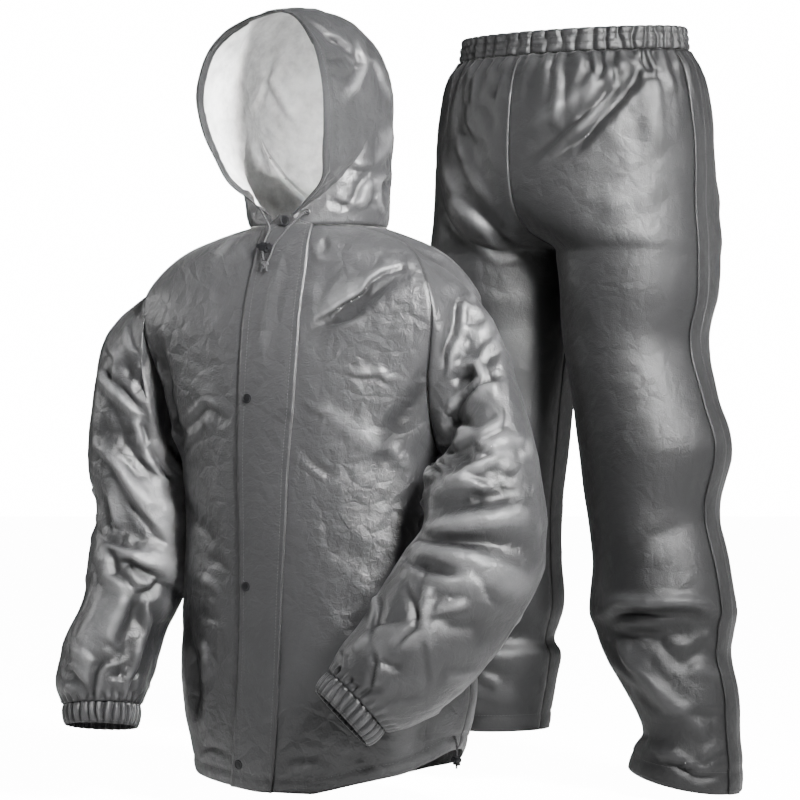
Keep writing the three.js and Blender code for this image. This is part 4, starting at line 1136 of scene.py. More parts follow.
@dataclass
class JacketBody:
    """The two fronts and the back, from the neck seam to the doubled hem."""

    noise: Noise
    hem_casing: float = 18.0
    # The lining by the armpits gets the coated cloth's colour instead of the white backing: painted shade
    # where it shows through a slit there.
    armpit_rows: float = 2.0
    armpit_reach: float = 60.0
    row_steps: int = 12
    front_steps: int = 11
    back_steps: int = 7
    left_folds: tuple = (
        (40, -150, 165, -60, -7, 12),
        (45, -135, 150, -45, 5, 14),
        (150, -330, 60, -240, 4, 12),
        (165, -420, 110, -740, 6, 16),
        (120, -500, 70, -742, -5, 14),
    )
    right_folds: tuple = (
        (-150, -350, -60, -430, -5, 13),
        (-160, -300, -190, -120, 5, 10),
        (-185, -480, -170, -742, 6, 13),
        (-120, -520, -110, -700, -5, 12),
    )
    back_folds: tuple = (
        (-150, -120, -60, -330, 6, 16),
        (150, -120, 60, -330, 6, 16),
        (-120, -420, -90, -742, 8, 18),
        (-30, -480, -10, -742, -7, 16),
        (50, -400, 80, -742, 8, 18),
        (150, -470, 150, -742, 6, 14),
    )
    fronts: dict = field(default_factory=dict)
    back: Optional[Cloth] = None

    def front_share(self, row: Array, column: Array, side: Side) -> Array:
        """The share of the body's width at a column of a front, from the meeting to the seam."""
        meeting = closure_share(body_height(row), "meeting")
        return meeting + (side.value - meeting) * column / FRONT_COLUMNS

    def edge_fall(self, row: Array, near: Array) -> Array:
        """How the cloth dips at its sewn edges and swells over the hem's casing.

        Args:
            row: The body's row.
            near: Millimetres from the piece's sewn edge.

        Returns:
            A height.
        """
        z = body_height(row)
        casing = hump(z - HEM, 8.0, 7.5, 1.3) - hump(z - HEM, 19.0, 2.6, 1.2)
        return casing - hump(row, 0.0, 0.25, 1.2) - hump(near, 0.0, SEAM_WIDTH, SEAM_DIP)

    def make_front(self, side: Side, drape: Drape) -> Cloth:
        """One front.

        Args:
            side: The wearer's side.
            drape: Its creases.

        Returns:
            The cloth.
        """
        rows = fine(range(2 * ARM_ROWS + 1), [self.row_steps] * 2 * ARM_ROWS)[:, None]
        columns = fine(range(FRONT_COLUMNS + 1), [self.front_steps] * FRONT_COLUMNS)[None, :]
        share = self.front_share(rows, columns, side)
        cloth = Cloth(body_point(rows, share, Face.FRONT))
        z = body_height(rows)
        folds = self.left_folds if side is Side.LEFT else self.right_folds
        inwards = np.minimum(columns - 1, (FRONT_COLUMNS - columns) / 2)
        calm = np.clip(np.minimum(inwards, rows / 2), 0, 1)
        height = calm * straight_folds(folds, share * BODY.read("half", z), z + 0 * share)
        cloth.raised(height)
        seam = (FRONT_COLUMNS - columns) * COLUMN_SPACE
        free = np.minimum(smooth((columns - 0.6) / 1.6), 0.25 + 0.75 * smooth(seam / 22.0))
        return self.finished(cloth, drape, rows, seam, free * (0.2 + 0.8 * smooth(rows / 1.2)))

    def make_back(self, drape: Drape) -> Cloth:
        """The back, in one piece.

        Args:
            drape: Its creases.

        Returns:
            The cloth.
        """
        count = 2 * FRONT_COLUMNS
        rows = fine(range(2 * ARM_ROWS + 1), [self.row_steps] * 2 * ARM_ROWS)[:, None]
        columns = fine(range(count + 1), [self.back_steps] * count)[None, :]
        share = 2 * columns / count - 1 + 0 * rows
        cloth = Cloth(body_point(rows, share, Face.BACK))
        z = body_height(rows)
        calm = np.clip(np.minimum(np.minimum(columns, count - columns) / 2, rows / 2), 0, 1)
        cloth.raised(calm * straight_folds(self.back_folds, share * BODY.read("half", z), z + 0 * share))
        seam = np.minimum(columns, count - columns) * COLUMN_SPACE
        free = (0.25 + 0.75 * smooth(seam / 22.0)) * (0.2 + 0.8 * smooth(rows / 1.2))
        return self.finished(cloth, drape, rows, seam, free)

    def finished(self, cloth: Cloth, drape: Drape, rows: Array, seam: Array, free: Array) -> Cloth:
        """Creases a piece of the body, turns its hem to the coated side, and gives the lining by the armpits
        the coated cloth's colour as painted shade.

        Args:
            cloth: The piece.
            drape: Its creases.
            rows: The body's row of each line.
            seam: Millimetres from the piece's side seam.
            free: How freely each point moves above the hem, from 0 to 1.

        Returns:
            The cloth itself.
        """
        cloth.draped(drape, self.noise, free * (0.5 + 0.5 * smooth((2 * ARM_ROWS - rows) / 0.9)))
        armpit = (np.abs(rows - ARM_ROWS) < self.armpit_rows) & (seam < self.armpit_reach)
        cloth.hems_and_painted_shade = (rows > 2 * ARM_ROWS - 0.5) | armpit
        return cloth.raised(self.edge_fall(rows, seam))

    def on_front(self, x: Array, z: Array) -> tuple[Array, Array]:
        """Places on the fronts.

        Args:
            x: Millimetres from the body's middle.
            z: The height.

        Returns:
            The points and the normals there.
        """
        x, z = np.broadcast_arrays(np.asarray(x, float), np.asarray(z, float))
        turn = np.radians(BODY.read("turn", z))
        share = np.arcsin(np.clip(x * np.sin(turn) / BODY.read("half", z), -1, 1)) / turn
        meeting = closure_share(z, "meeting")
        row = body_row(z) * self.row_steps
        left = FRONT_COLUMNS * (share - meeting) / (1 - meeting) * self.front_steps
        right = FRONT_COLUMNS * (share - meeting) / (-1 - meeting) * self.front_steps
        on_left = (share > meeting)[..., None]
        point_left, normal_left = self.fronts[Side.LEFT].place(row, left)
        point_right, normal_right = self.fronts[Side.RIGHT].place(row, right)
        return np.where(on_left, point_left, point_right), np.where(on_left, normal_left, normal_right)

    def build(self, drapes: dict, stitching: Stitching) -> None:
        """Builds the three pieces and their seams.

        Args:
            drapes: The creases of each piece.
            stitching: Where the stitches go.
        """
        self.back = self.make_back(drapes["back"])
        for side in Side:
            self.fronts[side] = self.make_front(side, drapes[side])
            cloth = self.fronts[side]
            name = f"jacket_front_{side.name.lower()}"
            ride_sheet(cloth.built(name + "_cloth", JACKET_CLOTH, FLEECE), name)
            last = cloth.points.shape[0] - 1
            self.sew_hem(cloth, 200, stitching)
            down = np.linspace(0, last, 400)
            stitching.sew(*cloth.place(down, cloth.points.shape[1] - 1 - 1.5))
        made = self.back.built("jacket_back_cloth", JACKET_CLOTH, FLEECE)
        ride_sheet(made, "jacket_back")
        self.sew_hem(self.back, 400, stitching)

    def sew_hem(self, cloth: Cloth, points: int, stitching: Stitching) -> None:
        """Sews the casing of the hem.

        Args:
            cloth: The piece.
            points: How many points the seam's line has.
            stitching: Where the stitches go.
        """
        across = np.linspace(0, cloth.points.shape[1] - 1, points)
        stitching.sew(*cloth.place(body_row(HEM + self.hem_casing) * self.row_steps + 0 * across, across))


def ride_sheet(made: bpy.types.Object, node: str) -> None:
    """Parents a sheet of cloth to the root and hides the CAD node that it stands for.

    Args:
        made: The cloth.
        node: The node it replaces.
    """
    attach(made, "root")
    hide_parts(node)
    LOG.info("%s: %d faces", made.name, len(made.data.polygons))


# The rings of each sleeve, as rows of x, y, z, tilt, pitch, half breadth outwards and half breadth forwards.
RIGHT_SLEEVE = (
    (-240, 80, -213, 72, 0, 107, 80),
    (-252, 78, -268, 48, 0, 92, 73),
    (-258, 72, -330, 10, 0, 66, 71),
    (-249, 66, -388, 0, 0, 60, 69),
    (-255, 56, -445, -4, 4, 66, 71),
    (-259, 46, -500, -4, 8, 68, 72),
    (-284, 34, -562, -8, 12, 71, 70),
    (-297, 22, -622, -6, 12, 67, 65),
    (-300, 14, -654, 0, 12, 53, 50),
)
LEFT_SLEEVE = (
    (196, -108, -210, 82, 0, 120, 60),
    (210, -160, -264, 46, 0, 84, 68),
    (219, -192, -325, 18, 0, 78, 72),
    (224, -208, -392, 4, 5, 82, 76),
    (208, -220, -452, -14, 12, 90, 78),
    (169, -236, -512, -38, 14, 86, 75),
    (128, -247, -566, -43, 12, 80, 72),
    (83, -253, -606, -46, 10, 68, 62),
    (57, -254, -625, -47, 8, 53, 50),
)
RIGHT_CUFF_END = (-300, 8, -683, 2, 12, 50, 47)
LEFT_CUFF_END = (37, -257, -646, -47, 8, 50, 47)


def ring_point(ring: Array, angle: Array, side: Side, swell: Array = 0.0) -> Array:
    """A point of a ring across the arm.

    Args:
        ring: x, y, z, tilt, pitch, out and fore, in the last axis.
        angle: 0 on the arm's outer side and 90 in front.
        side: The wearer's side.
        swell: What is added to both half sizes.

    Returns:
        The point.
    """
    ring = np.asarray(ring, float)
    tilt, pitch = np.radians(ring[..., 3]), np.radians(ring[..., 4])
    zero = np.zeros_like(tilt)
    out = np.stack([side.value * np.cos(tilt), zero, np.sin(tilt)], axis=-1)
    down = np.stack([side.value * np.sin(tilt), zero, -np.cos(tilt)], axis=-1)
    fore = np.stack([zero, -np.cos(pitch), zero], axis=-1) - down * np.sin(pitch)[..., None]
    angle = np.radians(np.asarray(angle, float))
    width = ((ring[..., 5] + swell) * np.cos(angle))[..., None]
    depth = ((ring[..., 6] + swell) * np.sin(angle))[..., None]
    return ring[..., :3] + out * width + fore * depth


def sleeve_angle(column: Array) -> Array:
    """The angle of a column round the arm: down the front seam, up the back one, and across the neck."""
    corners = [0, ARM_ROWS, 2 * ARM_ROWS, 2 * ARM_ROWS + SHOULDER_COLUMNS]
    return np.interp(column, corners, [14, 180, 346, 374])


@dataclass
class Sleeve:
    """A raglan sleeve with its elastic cuff."""

    side: Side
    noise: Noise
    rings: tuple
    cuff_end: tuple
    folds: tuple
    rows: int = 17
    row_steps: int = 10
    column_steps: int = 8
    gathers: int = 28
    gather_depth: float = 2.2
    degree: float = 1.2  # about what a degree round the arm measures
    ring_space: float = 55.0  # about how far apart the rings lie

    def raglan_point(self, column: Array) -> Array:
        """The sleeve's first ring: the raglan seams of the front and the back, and the neck between."""
        value = float(self.side.value)
        turn = 2 * ARM_ROWS
        ahead = body_point(np.clip(column, 0, ARM_ROWS), value, Face.FRONT)
        behind = body_point(np.clip(turn - column, 0, ARM_ROWS), value, Face.BACK)
        start, end = body_point(0.0, value, Face.BACK), body_point(0.0, value, Face.FRONT)
        t = np.clip((column - turn) / SHOULDER_COLUMNS, 0, 1)[..., None]
        middle = turned(0.0, 0.0, NECK_HEIGHT, JACKET_YAW, JACKET_CENTRE)
        spoke = unit(start + (end - start) * t - middle) * NECK_RADIUS + middle
        first = np.where((column <= ARM_ROWS)[..., None], ahead, behind)
        return np.where((column > turn)[..., None], spoke, first)

    def build(self, drape: Drape, stitching: Stitching) -> None:
        """Builds the sleeve and its cuff.

        Args:
            drape: The sleeve's creases.
            stitching: Where the stitches go.
        """
        around = 2 * ARM_ROWS + SHOULDER_COLUMNS
        rows = fine(range(self.rows + 1), [self.row_steps] * self.rows)
        columns = fine(range(around + 1), [self.column_steps] * around)[:-1]
        ring_at = len(self.rings) * (rows / self.rows) ** 1.05
        angle = sleeve_angle(columns)
        lines = [self.raglan_point(columns)]
        lines += [ring_point(np.array(ring), angle, self.side) for ring in self.rings]
        keys = np.arange(len(lines), dtype=float)
        cloth = Cloth(hermite(keys, np.stack(lines), ring_at), closed=True)
        degree, ring = self.degree, self.ring_space
        scaled = [(a * degree, b * ring, c * degree, d * ring, h, w) for a, b, c, d, h, w in self.folds]
        calm = np.minimum(np.minimum(rows / 3, (self.rows - rows) / 2), 1)[:, None]
        cloth.raised(calm * straight_folds(scaled, angle[None, :] * degree, ring_at[:, None] * ring))
        free = (0.2 + 0.8 * smooth(rows / 1.0)) * (0.4 + 0.6 * smooth((self.rows - rows) / 0.8))
        cloth.draped(drape, self.noise, free[:, None])
        near = rows[:, None] * COLUMN_SPACE
        gather = np.cos(math.radians(1) * angle * self.gathers)[None, :]
        left = self.rows - rows[:, None]
        gather = gather * 2.4 * smooth(1 - left / 1.3) * smooth(left / 0.3)
        cloth.raised(gather - hump(near, 0.0, SEAM_WIDTH, SEAM_DIP))
        # The lining by the underarm gets the coated cloth's colour: painted shade in the gap between sleeve
        # and body.
        cloth.hems_and_painted_shade = (rows[:, None] < 4.5) & (np.abs(columns - ARM_ROWS)[None, :] < 6.5)
        name = f"sleeve_{self.side.name.lower()}"
        ride_sheet(cloth.built(name + "_cloth", JACKET_CLOTH, FLEECE), name)
        self.build_cuff(stitching)

    def build_cuff(self, stitching: Stitching) -> None:
        """Builds the gathered elastic cuff.

        Args:
            stitching: Where the stitches go.
        """
        rows = np.linspace(0, 1, 13)[:, None]
        columns = np.arange(self.gathers * 12) / (self.gathers * 12.0)
        start, end = np.array(self.rings[-1], float), np.array(self.cuff_end, float)
        ring = (start + (end - start) * rows)[:, None, :] + 0 * columns[None, :, None]
        angle = np.broadcast_to(360.0 * columns[None, :], ring.shape[:2])
        points = ring_point(ring, angle, self.side)
        uneven = self.noise.at(points, 26.0)
        phase = 2 * math.pi * self.gathers * columns[None, :] + math.pi / 4 + uneven * 1.5
        wave = np.sin(phase) + 0.25 * np.sin(2 * phase + 0.8)
        puff = np.sin(math.pi * np.clip(rows, 0, 1)) ** 0.6
        deep = self.gather_depth * wave * (0.45 + 0.75 * puff)
        swell = deep * (0.85 + 0.4 * uneven) + 2.4 * puff - 1.4
        cloth = Cloth(ring_point(ring, angle, self.side, swell), closed=True)
        # The gathers' swell paints light and shade: lighter on the puffs, darker between them.
        cloth.fold = swell * 0.9
        name = f"cuff_{self.side.name.lower()}"
        made = cloth.built(name + "_cloth", JACKET_CLOTH, JACKET_CLOTH)
        ride_sheet(made, name)
        for row in (1.4, 10.4):
            stitching.sew(*cloth.place(row, np.linspace(0, cloth.points.shape[1], 700)))


# The hood

FACE_EDGE = Table(
    "z half fore",
    (17, 15, 93),
    (40, 46, 99),
    (65, 76, 109),
    (99, 88, 125),
    (132, 98, 137),
    (176, 103, 146),
    (212, 97, 146),
    (244, 84, 142),
    (270, 62, 132),
    (288, 34, 116),
)
CROWN_SEAM = (
    (104, 296),
    (66, 303),
    (24, 304),
    (-20, 298),
    (-56, 280),
    (-84, 250),
    (-99, 205),
    (-103, 160),
    (-102, 110),
    (-98, 60),
    (-95, 30),
)
HOOD_EAR = (103.0, 12.0, 158.0)  # half, fore, z
HOOD_LIFT = 1.2
HOOD_NECK_POINTS = 9


@dataclass
class Hood:
    """Two shaped halves with a middle seam, a hemmed face edge and a facing under the brim."""

    noise: Noise
    rings: int = 5
    ring_steps: int = 11
    column_steps: int = 8
    facing_thickness: float = 1.2
    sides: dict = field(default_factory=dict)

    def outline(self, column: Array) -> tuple[Array, Array]:
        """The edge of one half, all round.

        Args:
            column: From 0 at the throat, round the neck, over the crown and down the face edge, to 30.

        Returns:
            half, fore and z there, and how much the middle seam holds the cloth.
        """
        neck_angle = np.radians(np.linspace(10, 180, HOOD_NECK_POINTS))
        neck_height = 0 * neck_angle + NECK_HEIGHT + HOOD_LIFT
        half, fore = NECK_RADIUS * np.sin(neck_angle), NECK_RADIUS * np.cos(neck_angle)
        neck = np.stack([half, fore, neck_height], axis=-1)
        seam = np.array([(0.0, fore, z) for fore, z in reversed(CROWN_SEAM)])
        face = np.stack([FACE_EDGE.column(name) for name in ("half", "fore", "z")], axis=-1)[::-1]
        places = np.zeros(column.shape + (3,))
        start = 0
        for section in (neck, seam, face):
            keys = np.arange(len(section), dtype=float) + start
            inside = (column >= keys[0]) & (column <= keys[-1])
            places[inside] = hermite(keys, section, column[inside])
            start += len(section)
        ends = [
            (HOOD_NECK_POINTS - 1, neck[-1], seam[0]),
            (HOOD_NECK_POINTS + 10, seam[-1], face[0]),
            (29, face[-1], neck[0]),
        ]
        for key, a, b in ends:
            between = (column > key) & (column < key + 1)
            places[between] = a + (b - a) * (column[between] - key)[:, None]
        held = np.interp(column, [8, 9, 19, 20], [0, 1, 1, 0])
        return places, held

    def make_side(self, side: Side, drape: Drape) -> Cloth:
        """One half of the hood.

        Args:
            side: The wearer's side.
            drape: Its creases.

        Returns:
            The cloth.
        """
        count = HOOD_NECK_POINTS + len(CROWN_SEAM) + len(FACE_EDGE.data)
        columns = fine(range(count + 1), [self.column_steps] * count)[:-1]
        rows = fine(range(self.rings + 1), [self.ring_steps] * self.rings)
        t = np.sin(math.pi / 2 * rows / self.rings)[:, None]
        ends, held = self.outline(columns)
        fall = held * np.sqrt(np.clip(1 - t**2.3, 0, 1)) + (1 - held) * (1 - t**2.6)
        half = ends[:, 0] + (HOOD_EAR[0] - ends[:, 0]) * fall
        fore = HOOD_EAR[1] + (ends[:, 1] - HOOD_EAR[1]) * t
        z = HOOD_EAR[2] + (ends[:, 2] - HOOD_EAR[2]) * t
        cloth = Cloth(turned(side.value * half, -fore, z, HOOD_YAW, HOOD_CENTRE), closed=True, pole=True)
        edge = np.linalg.norm(cloth.points - cloth.points[-1][None], axis=-1)
        free = 0.1 + 0.9 * smooth(edge / 16.0)
        cloth.draped(drape, self.noise, free)
        face = smooth((columns - 19.4) / 0.8) * smooth((30.0 - columns) / 0.8)
        casing = hump(edge, 6.5, 5.0, 1.1) - hump(edge, 15.0, 2.4, 1.0)
        cloth.hems_and_painted_shade = (edge < 19.0) & (face > 0.5)
        return cloth.raised(face * casing - (1 - face) * hump(edge, 0.0, 3.0, 1.0))

    def build(self, drape: Drape, stitching: Stitching) -> None:
        """Builds both halves and the facing.

        Args:
            drape: The creases.
            stitching: Where the stitches go.
        """
        for side in Side:
            cloth = self.make_side(side, drape)
            self.sides[side] = cloth
            name = f"hood_{side.name.lower()}"
            ride_sheet(cloth.built(name + "_cloth", JACKET_CLOTH, FLEECE), name)
            for start, end, distance in ((20.0, 29.8, 15.0), (9.1, 19.0, 5.0)):
                columns = np.linspace(start, end, 300) * self.column_steps
                stitching.sew(*cloth.place(self.row_from_edge(cloth, columns, distance), columns))
        self.build_facing()

    def row_from_edge(self, cloth: Cloth, columns: Array, distance: float) -> Array:
        """The rows that lie so far in from the edge.

        Args:
            cloth: One half.
            columns: Its columns.
            distance: Millimetres from the edge.

        Returns:
            A row for each column.
        """
        last = cloth.points.shape[0] - 1
        rows = np.arange(last, last - 34, -1, dtype=float)
        found = []
        for column in columns:
            line, _ = cloth.place(rows, column)
            gone = np.concatenate([[0.0], np.cumsum(np.linalg.norm(np.diff(line, axis=0), axis=1))])
            found.append(np.interp(distance, gone, rows))
        return np.array(found)

    def build_facing(self) -> None:
        """Builds the facing under the brim."""
        table = (
            (Side.RIGHT, 4.7, 22, 4.2, 22),
            (Side.RIGHT, 4.8, 21, 3.9, 21),
            (Side.RIGHT, 4.85, 20, 4.1, 19.8),
            (Side.RIGHT, 5, 18.9, 5, 18.45),
            (Side.LEFT, 4.85, 20, 4.1, 19.8),
            (Side.LEFT, 4.8, 21, 3.9, 21),
            (Side.LEFT, 4.7, 22, 4.2, 22),
        )
        edges = []
        for at in (1, 3):
            found = [
                self.sides[row[0]].place(row[at] * self.ring_steps, row[at + 1] * self.column_steps)
                for row in table
            ]
            edges.append(np.stack([p - n * (CLOTH / 2 + 1.2) for p, n in found]))
        keys = np.arange(7.0)
        across = np.linspace(0, 6, 73)
        outer, inner = hermite(keys, edges[0], across), hermite(keys, edges[1], across)
        share = np.linspace(0, 1, 9)[:, None, None]
        cloth = Cloth(outer[None] * (1 - share) + inner[None] * share)
        middle = turned(0.0, -20.0, 150.0, HOOD_YAW, HOOD_CENTRE)
        inwards = np.sum(cloth.normals * (middle - cloth.points)) > 0
        if not inwards:
            cloth.normals, cloth.flipped = -cloth.normals, not cloth.flipped
        made = cloth.built("brim_facing_cloth", JACKET_CLOTH, JACKET_CLOTH, self.facing_thickness)
        ride_sheet(made, "brim_facing")


# The storm flap and its snaps


@dataclass
class StormFlap:
    """The flap over the zip, from a snapped tab at the neck to the hem, with four snaps."""

    body: JacketBody
    noise: Noise
    tab: tuple = ((20.0, 9.0, 97.8), (14.0, 16.0, 98.0))  # z, half width, fore
    across: int = 21

    def build(self, drape: Drape, stitching: Stitching) -> None:
        """Builds the flap and its stitched edges.

        Args:
            drape: Its creases.
            stitching: Where the stitches go.
        """
        share = np.linspace(-1, 1, self.across)
        lift = CLOTH + LAYER_GAP
        lines = []
        for z, half_width, fore in self.tab:
            x = share * half_width
            lines.append(turned(x, -fore + np.abs(share) * 1.3, z, JACKET_YAW, JACKET_CENTRE))
        heights = body_height(fine(range(2 * ARM_ROWS + 1), [10] * 2 * ARM_ROWS))
        rows = []
        for z in heights:
            meeting, right, left = (CLOSURE.read(name, z) for name in ("meeting", "right", "left"))
            x = meeting + np.where(share < 0, meeting - right, left - meeting) * share
            points, normals = self.body.on_front(x, z)
            rows.append(points + normals * lift)
        keys = np.array([0.0, 1.0, 2.0])
        top = hermite(keys, np.stack([*lines, rows[0]]), np.linspace(0, 2, 9))[:-1]
        grid = np.concatenate([top, np.stack(rows)])
        cloth = Cloth(grid)
        if np.sum(cloth.normals[..., 1]) > 0:
            cloth.flip = True
            cloth.find_normals()
        edge = 1 - np.abs(share)[None, :]
        near = edge * 38.0
        seam = -hump(near, 7.0, 1.8, 0.5)
        bow = hump(near, 3.0, 3.0, 0.9)
        cloth.draped(drape, self.noise, smooth(edge / 0.3) * 0.5 + 0.1)
        cloth.raised(seam + bow + 0 * grid[..., 0])
        made = cloth.built("storm_flap_cloth", JACKET_CLOTH, JACKET_CLOTH)
        ride_sheet(made, "storm_flap")
        rows_at = np.linspace(1, grid.shape[0] - 1.5, 700)
        for column in (2.3, self.across - 3.3):
            stitching.sew(*cloth.place(rows_at, column))


# The trousers

SEAT = Table(
    "z half front back round",
    (262, 179, 126, 128, 90),
    (238, 197, 143, 146, 90),
    (205, 207, 152, 156, 90),
    (160, 213, 158, 164, 90),
    (100, 216, 158, 168, 92),
    (50, 216, 152, 166, 102),
    (15, 218, 142, 158, 122),
    (-5, 220, 133, 148, 148),
    (-20, 221, 124, 138, 180),
)
LEFT_LEG = Table(
    "z x half front back tilt",
    (-20, 111.1, 109.9, 124, 138, 0),
    (-80, 113, 107, 119, 129, 0),
    (-150, 108, 99, 108, 114, 0),
    (-230, 126, 102, 106, 108, 0),
    (-300, 142, 108, 108, 106, 0),
    (-385, 139, 93, 98, 96, 0),
    (-460, 153, 96, 98, 94, 0),
    (-530, 156, 104, 104, 98, 0),
    (-556, 157, 99, 90, 96, 0),
    (-590, 163, 89, 88, 92, 0),
    (-645, 188, 77, 80, 82, 0),
    (-700, 203, 65, 74, 72, 4),
    (-728, 198, 74, 80, 78, 10),
    (-762, 193, 78, 84, 80, 18),
)
RIGHT_LEG = Table(
    "z x half front back tilt",
    (-20, -111.1, 109.9, 124, 138, 0),
    (-80, -113, 106, 119, 128, 0),
    (-150, -117, 103, 112, 118, 0),
    (-230, -125, 101, 106, 108, 0),
    (-300, -131, 100, 104, 102, 0),
    (-385, -138, 97, 100, 98, 0),
    (-460, -138, 97, 100, 96, 0),
    (-530, -136, 98, 100, 96, 0),
    (-580, -141, 91, 92, 92, 0),
    (-600, -136, 94, 98, 92, 0),
    (-650, -134, 84, 88, 84, 0),
    (-680, -134, 78, 84, 80, 0),
    (-711, -134, 73, 80, 76, 0),
)
SEAT_HEIGHTS = (262, 238, 205, 165, 120, 80, 50, 25, 5, -10, -20)
SEAT_ROWS = 10
LEG_ROWS = 13
PANEL_COLUMNS = 9
CROTCH = -20.0
CROTCH_GAP = 1.2  # the middle seams stand this far from the middle at the crotch
WAIST_DIP = 7.0
WAIST_TOP = 296.0
WAIST_BOTTOM = 262.0


@dataclass
class Trousers:
    """Two front and two back panels, a strip over each outer seam, and the gathered elastic waistband."""

    noise: Noise
    waist_gathers: int = 48
    waist_half: float = 179.0
    hundredth: float = 2.6  # about what a hundredth of a panel's breadth measures
    strip_half: float = 14.0
    panels: dict = field(default_factory=dict)
    folds: dict = field(
        default_factory=lambda: {
            (Side.LEFT, Face.FRONT): (
                (30, 250, 100, 90, -9, 13),
                (38, 255, 108, 118, 6, 13),
                (60, -560, 0, -556, -9, 10),
                (70, -590, 20, -690, 7, 14),
                (10, -400, 50, -440, -4, 12),
            ),
            (Side.RIGHT, Face.FRONT): (
                (90, -10, 50, 120, 8, 14),
                (70, -20, 40, 90, -7, 13),
                (20, -590, 90, -570, -8, 12),
                (30, -620, 80, -660, 7, 14),
            ),
            (Side.LEFT, Face.BACK): (
                (90, 10, 30, 60, 8, 18),
                (20, -420, 80, -400, -7, 16),
                (20, -570, 90, -590, -8, 14),
            ),
            (Side.RIGHT, Face.BACK): (
                (90, 10, 30, 60, 8, 18),
                (20, -410, 80, -430, -7, 16),
                (20, -600, 90, -580, -8, 14),
            ),
        }
    )

    def height(self, row: Array, side: Side) -> Array:
        """The height of a row of a panel."""
        legs = LEFT_LEG if side is Side.LEFT else RIGHT_LEG
        foot = legs.data[0, 0]
        seat = np.interp(row, range(SEAT_ROWS + 1), SEAT_HEIGHTS)
        return np.where(row <= SEAT_ROWS, seat, CROTCH + (foot - CROTCH) * (row - SEAT_ROWS) / LEG_ROWS)

    def point(self, row: Array, share: Array, side: Side, face: Face) -> Array:
        """A point of a trouser panel.

        Args:
            row: From 0 at the waistband to 23 at the hem.
            share: From 0 at the outer seam to 1 at the middle or inner seam.
            side: The wearer's side.
            face: Front or back.

        Returns:
            The point in the suit's frame.
        """
        row, share = np.broadcast_arrays(np.asarray(row, float), np.asarray(share, float))
        sign, facing = side.value, -1.0 if face is Face.FRONT else 1.0
        z = self.height(row, side)
        around = np.radians(SEAT.read("round", z))
        half, depth = SEAT.read("half", z), SEAT.read(face.value, z)
        radius = half / (1 - np.cos(around))
        x = half - radius + radius * np.cos(share * around)
        x = sign * (x + CROTCH_GAP * share * (SEAT.read("round", z) - 90) / 90)
        y = facing * depth * np.sin(share * around)
        dip = WAIST_DIP * smooth(z / WAIST_BOTTOM) * y / depth
        seat = np.stack([x, y, z + dip], axis=-1)
        legs = LEFT_LEG if side is Side.LEFT else RIGHT_LEG
        depth = legs.read(face.value, z)
        x = legs.read("x", z) + sign * legs.read("half", z) * np.cos(share * math.pi)
        y = facing * depth * np.sin(share * math.pi)
        leg = np.stack([x, y, z - legs.read("tilt", z) * np.cos(share * math.pi)], axis=-1)
        own = np.where((row <= SEAT_ROWS)[..., None], seat, leg)
        return turned(own[..., 0], own[..., 1], own[..., 2], TROUSERS_YAW, TROUSERS_CENTRE)

    def make_panel(self, side: Side, face: Face, drape: Drape) -> Cloth:
        """One panel.

        Args:
            side: The wearer's side.
            face: Front or back.
            drape: Its creases.

        Returns:
            The cloth.
        """
        steps = [8, 10, 11, 11, 9, 8, 6, 5, 4, 3] + [11] * LEG_ROWS
        rows = fine(range(SEAT_ROWS + LEG_ROWS + 1), steps)[:, None]
        columns = fine(range(PANEL_COLUMNS + 1), [8] * PANEL_COLUMNS)[None, :]
        cloth = Cloth(self.point(rows, columns / PANEL_COLUMNS, side, face))
        z = self.height(rows, side)
        folds = self.folds[(side, face)]
        scaled = [(a * self.hundredth, b, c * self.hundredth, d, h, w) for a, b, c, d, h, w in folds]
        broad = 100 * self.hundredth
        inwards = np.minimum(columns - 1, (PANEL_COLUMNS - columns) / 2)
        calm = np.clip(inwards, 0, 1) * np.minimum(rows, 1)
        cloth.raised(calm * straight_folds(scaled, columns / PANEL_COLUMNS * broad, z + 0 * columns))
        down = np.maximum(WAIST_BOTTOM - z, 0.0)
        angle = columns / PANEL_COLUMNS * 90.0
        uneven = self.noise.at(cloth.points * np.array([1.0, 1.0, 0.25]), 30.0)
        phase = 2 * math.pi * self.waist_gathers * angle / 360.0
        reach = 42.0 + 34.0 * self.noise.at(cloth.points * np.array([1.0, 1.0, 0.0]) + 77.0, 24.0)
        gather = 3.6 * np.sin(phase + uneven * 2.4) * np.exp(-down / np.maximum(reach * 0.75, 10.0))
        pouch = 2.4 * uneven * np.exp(-((down / 90.0) ** 2)) * smooth(down / 14.0)
        seam = np.minimum(columns, PANEL_COLUMNS - columns) * COLUMN_SPACE
        free = (0.3 + 0.7 * smooth(seam / 24.0)) * smooth(rows / 0.6 + 0.1)
        last = SEAT_ROWS + LEG_ROWS
        free = free * (0.5 + 0.5 * smooth((last - rows) / 0.8))
        closing = smooth((SEAT.read("round", z) - 95.0) / 45.0)
        under = closing * smooth(1.0 - (rows - SEAT_ROWS) / 0.7)
        crotch = under * hump((PANEL_COLUMNS - columns) * COLUMN_SPACE, 0.0, 20.0, 1.0)
        free = free * (1.0 - 0.95 * crotch)
        cloth.raised((gather * smooth(seam / 10.0) + pouch) * smooth(down / 3.0 + 0.4))
        cloth.draped(drape, self.noise, free)
        foot = (last - rows) * LEG_ROW_SPACE
        cloth.hems_and_painted_shade = np.broadcast_to(foot < 26.0, cloth.fold.shape)
        casing = hump(foot, 10.0, 9.0, 0.9) - hump(foot, 24.0, 2.6, 1.1)
        return cloth.raised(casing - (1.0 - crotch) * hump(seam, 0.0, 4.2, 0.8))

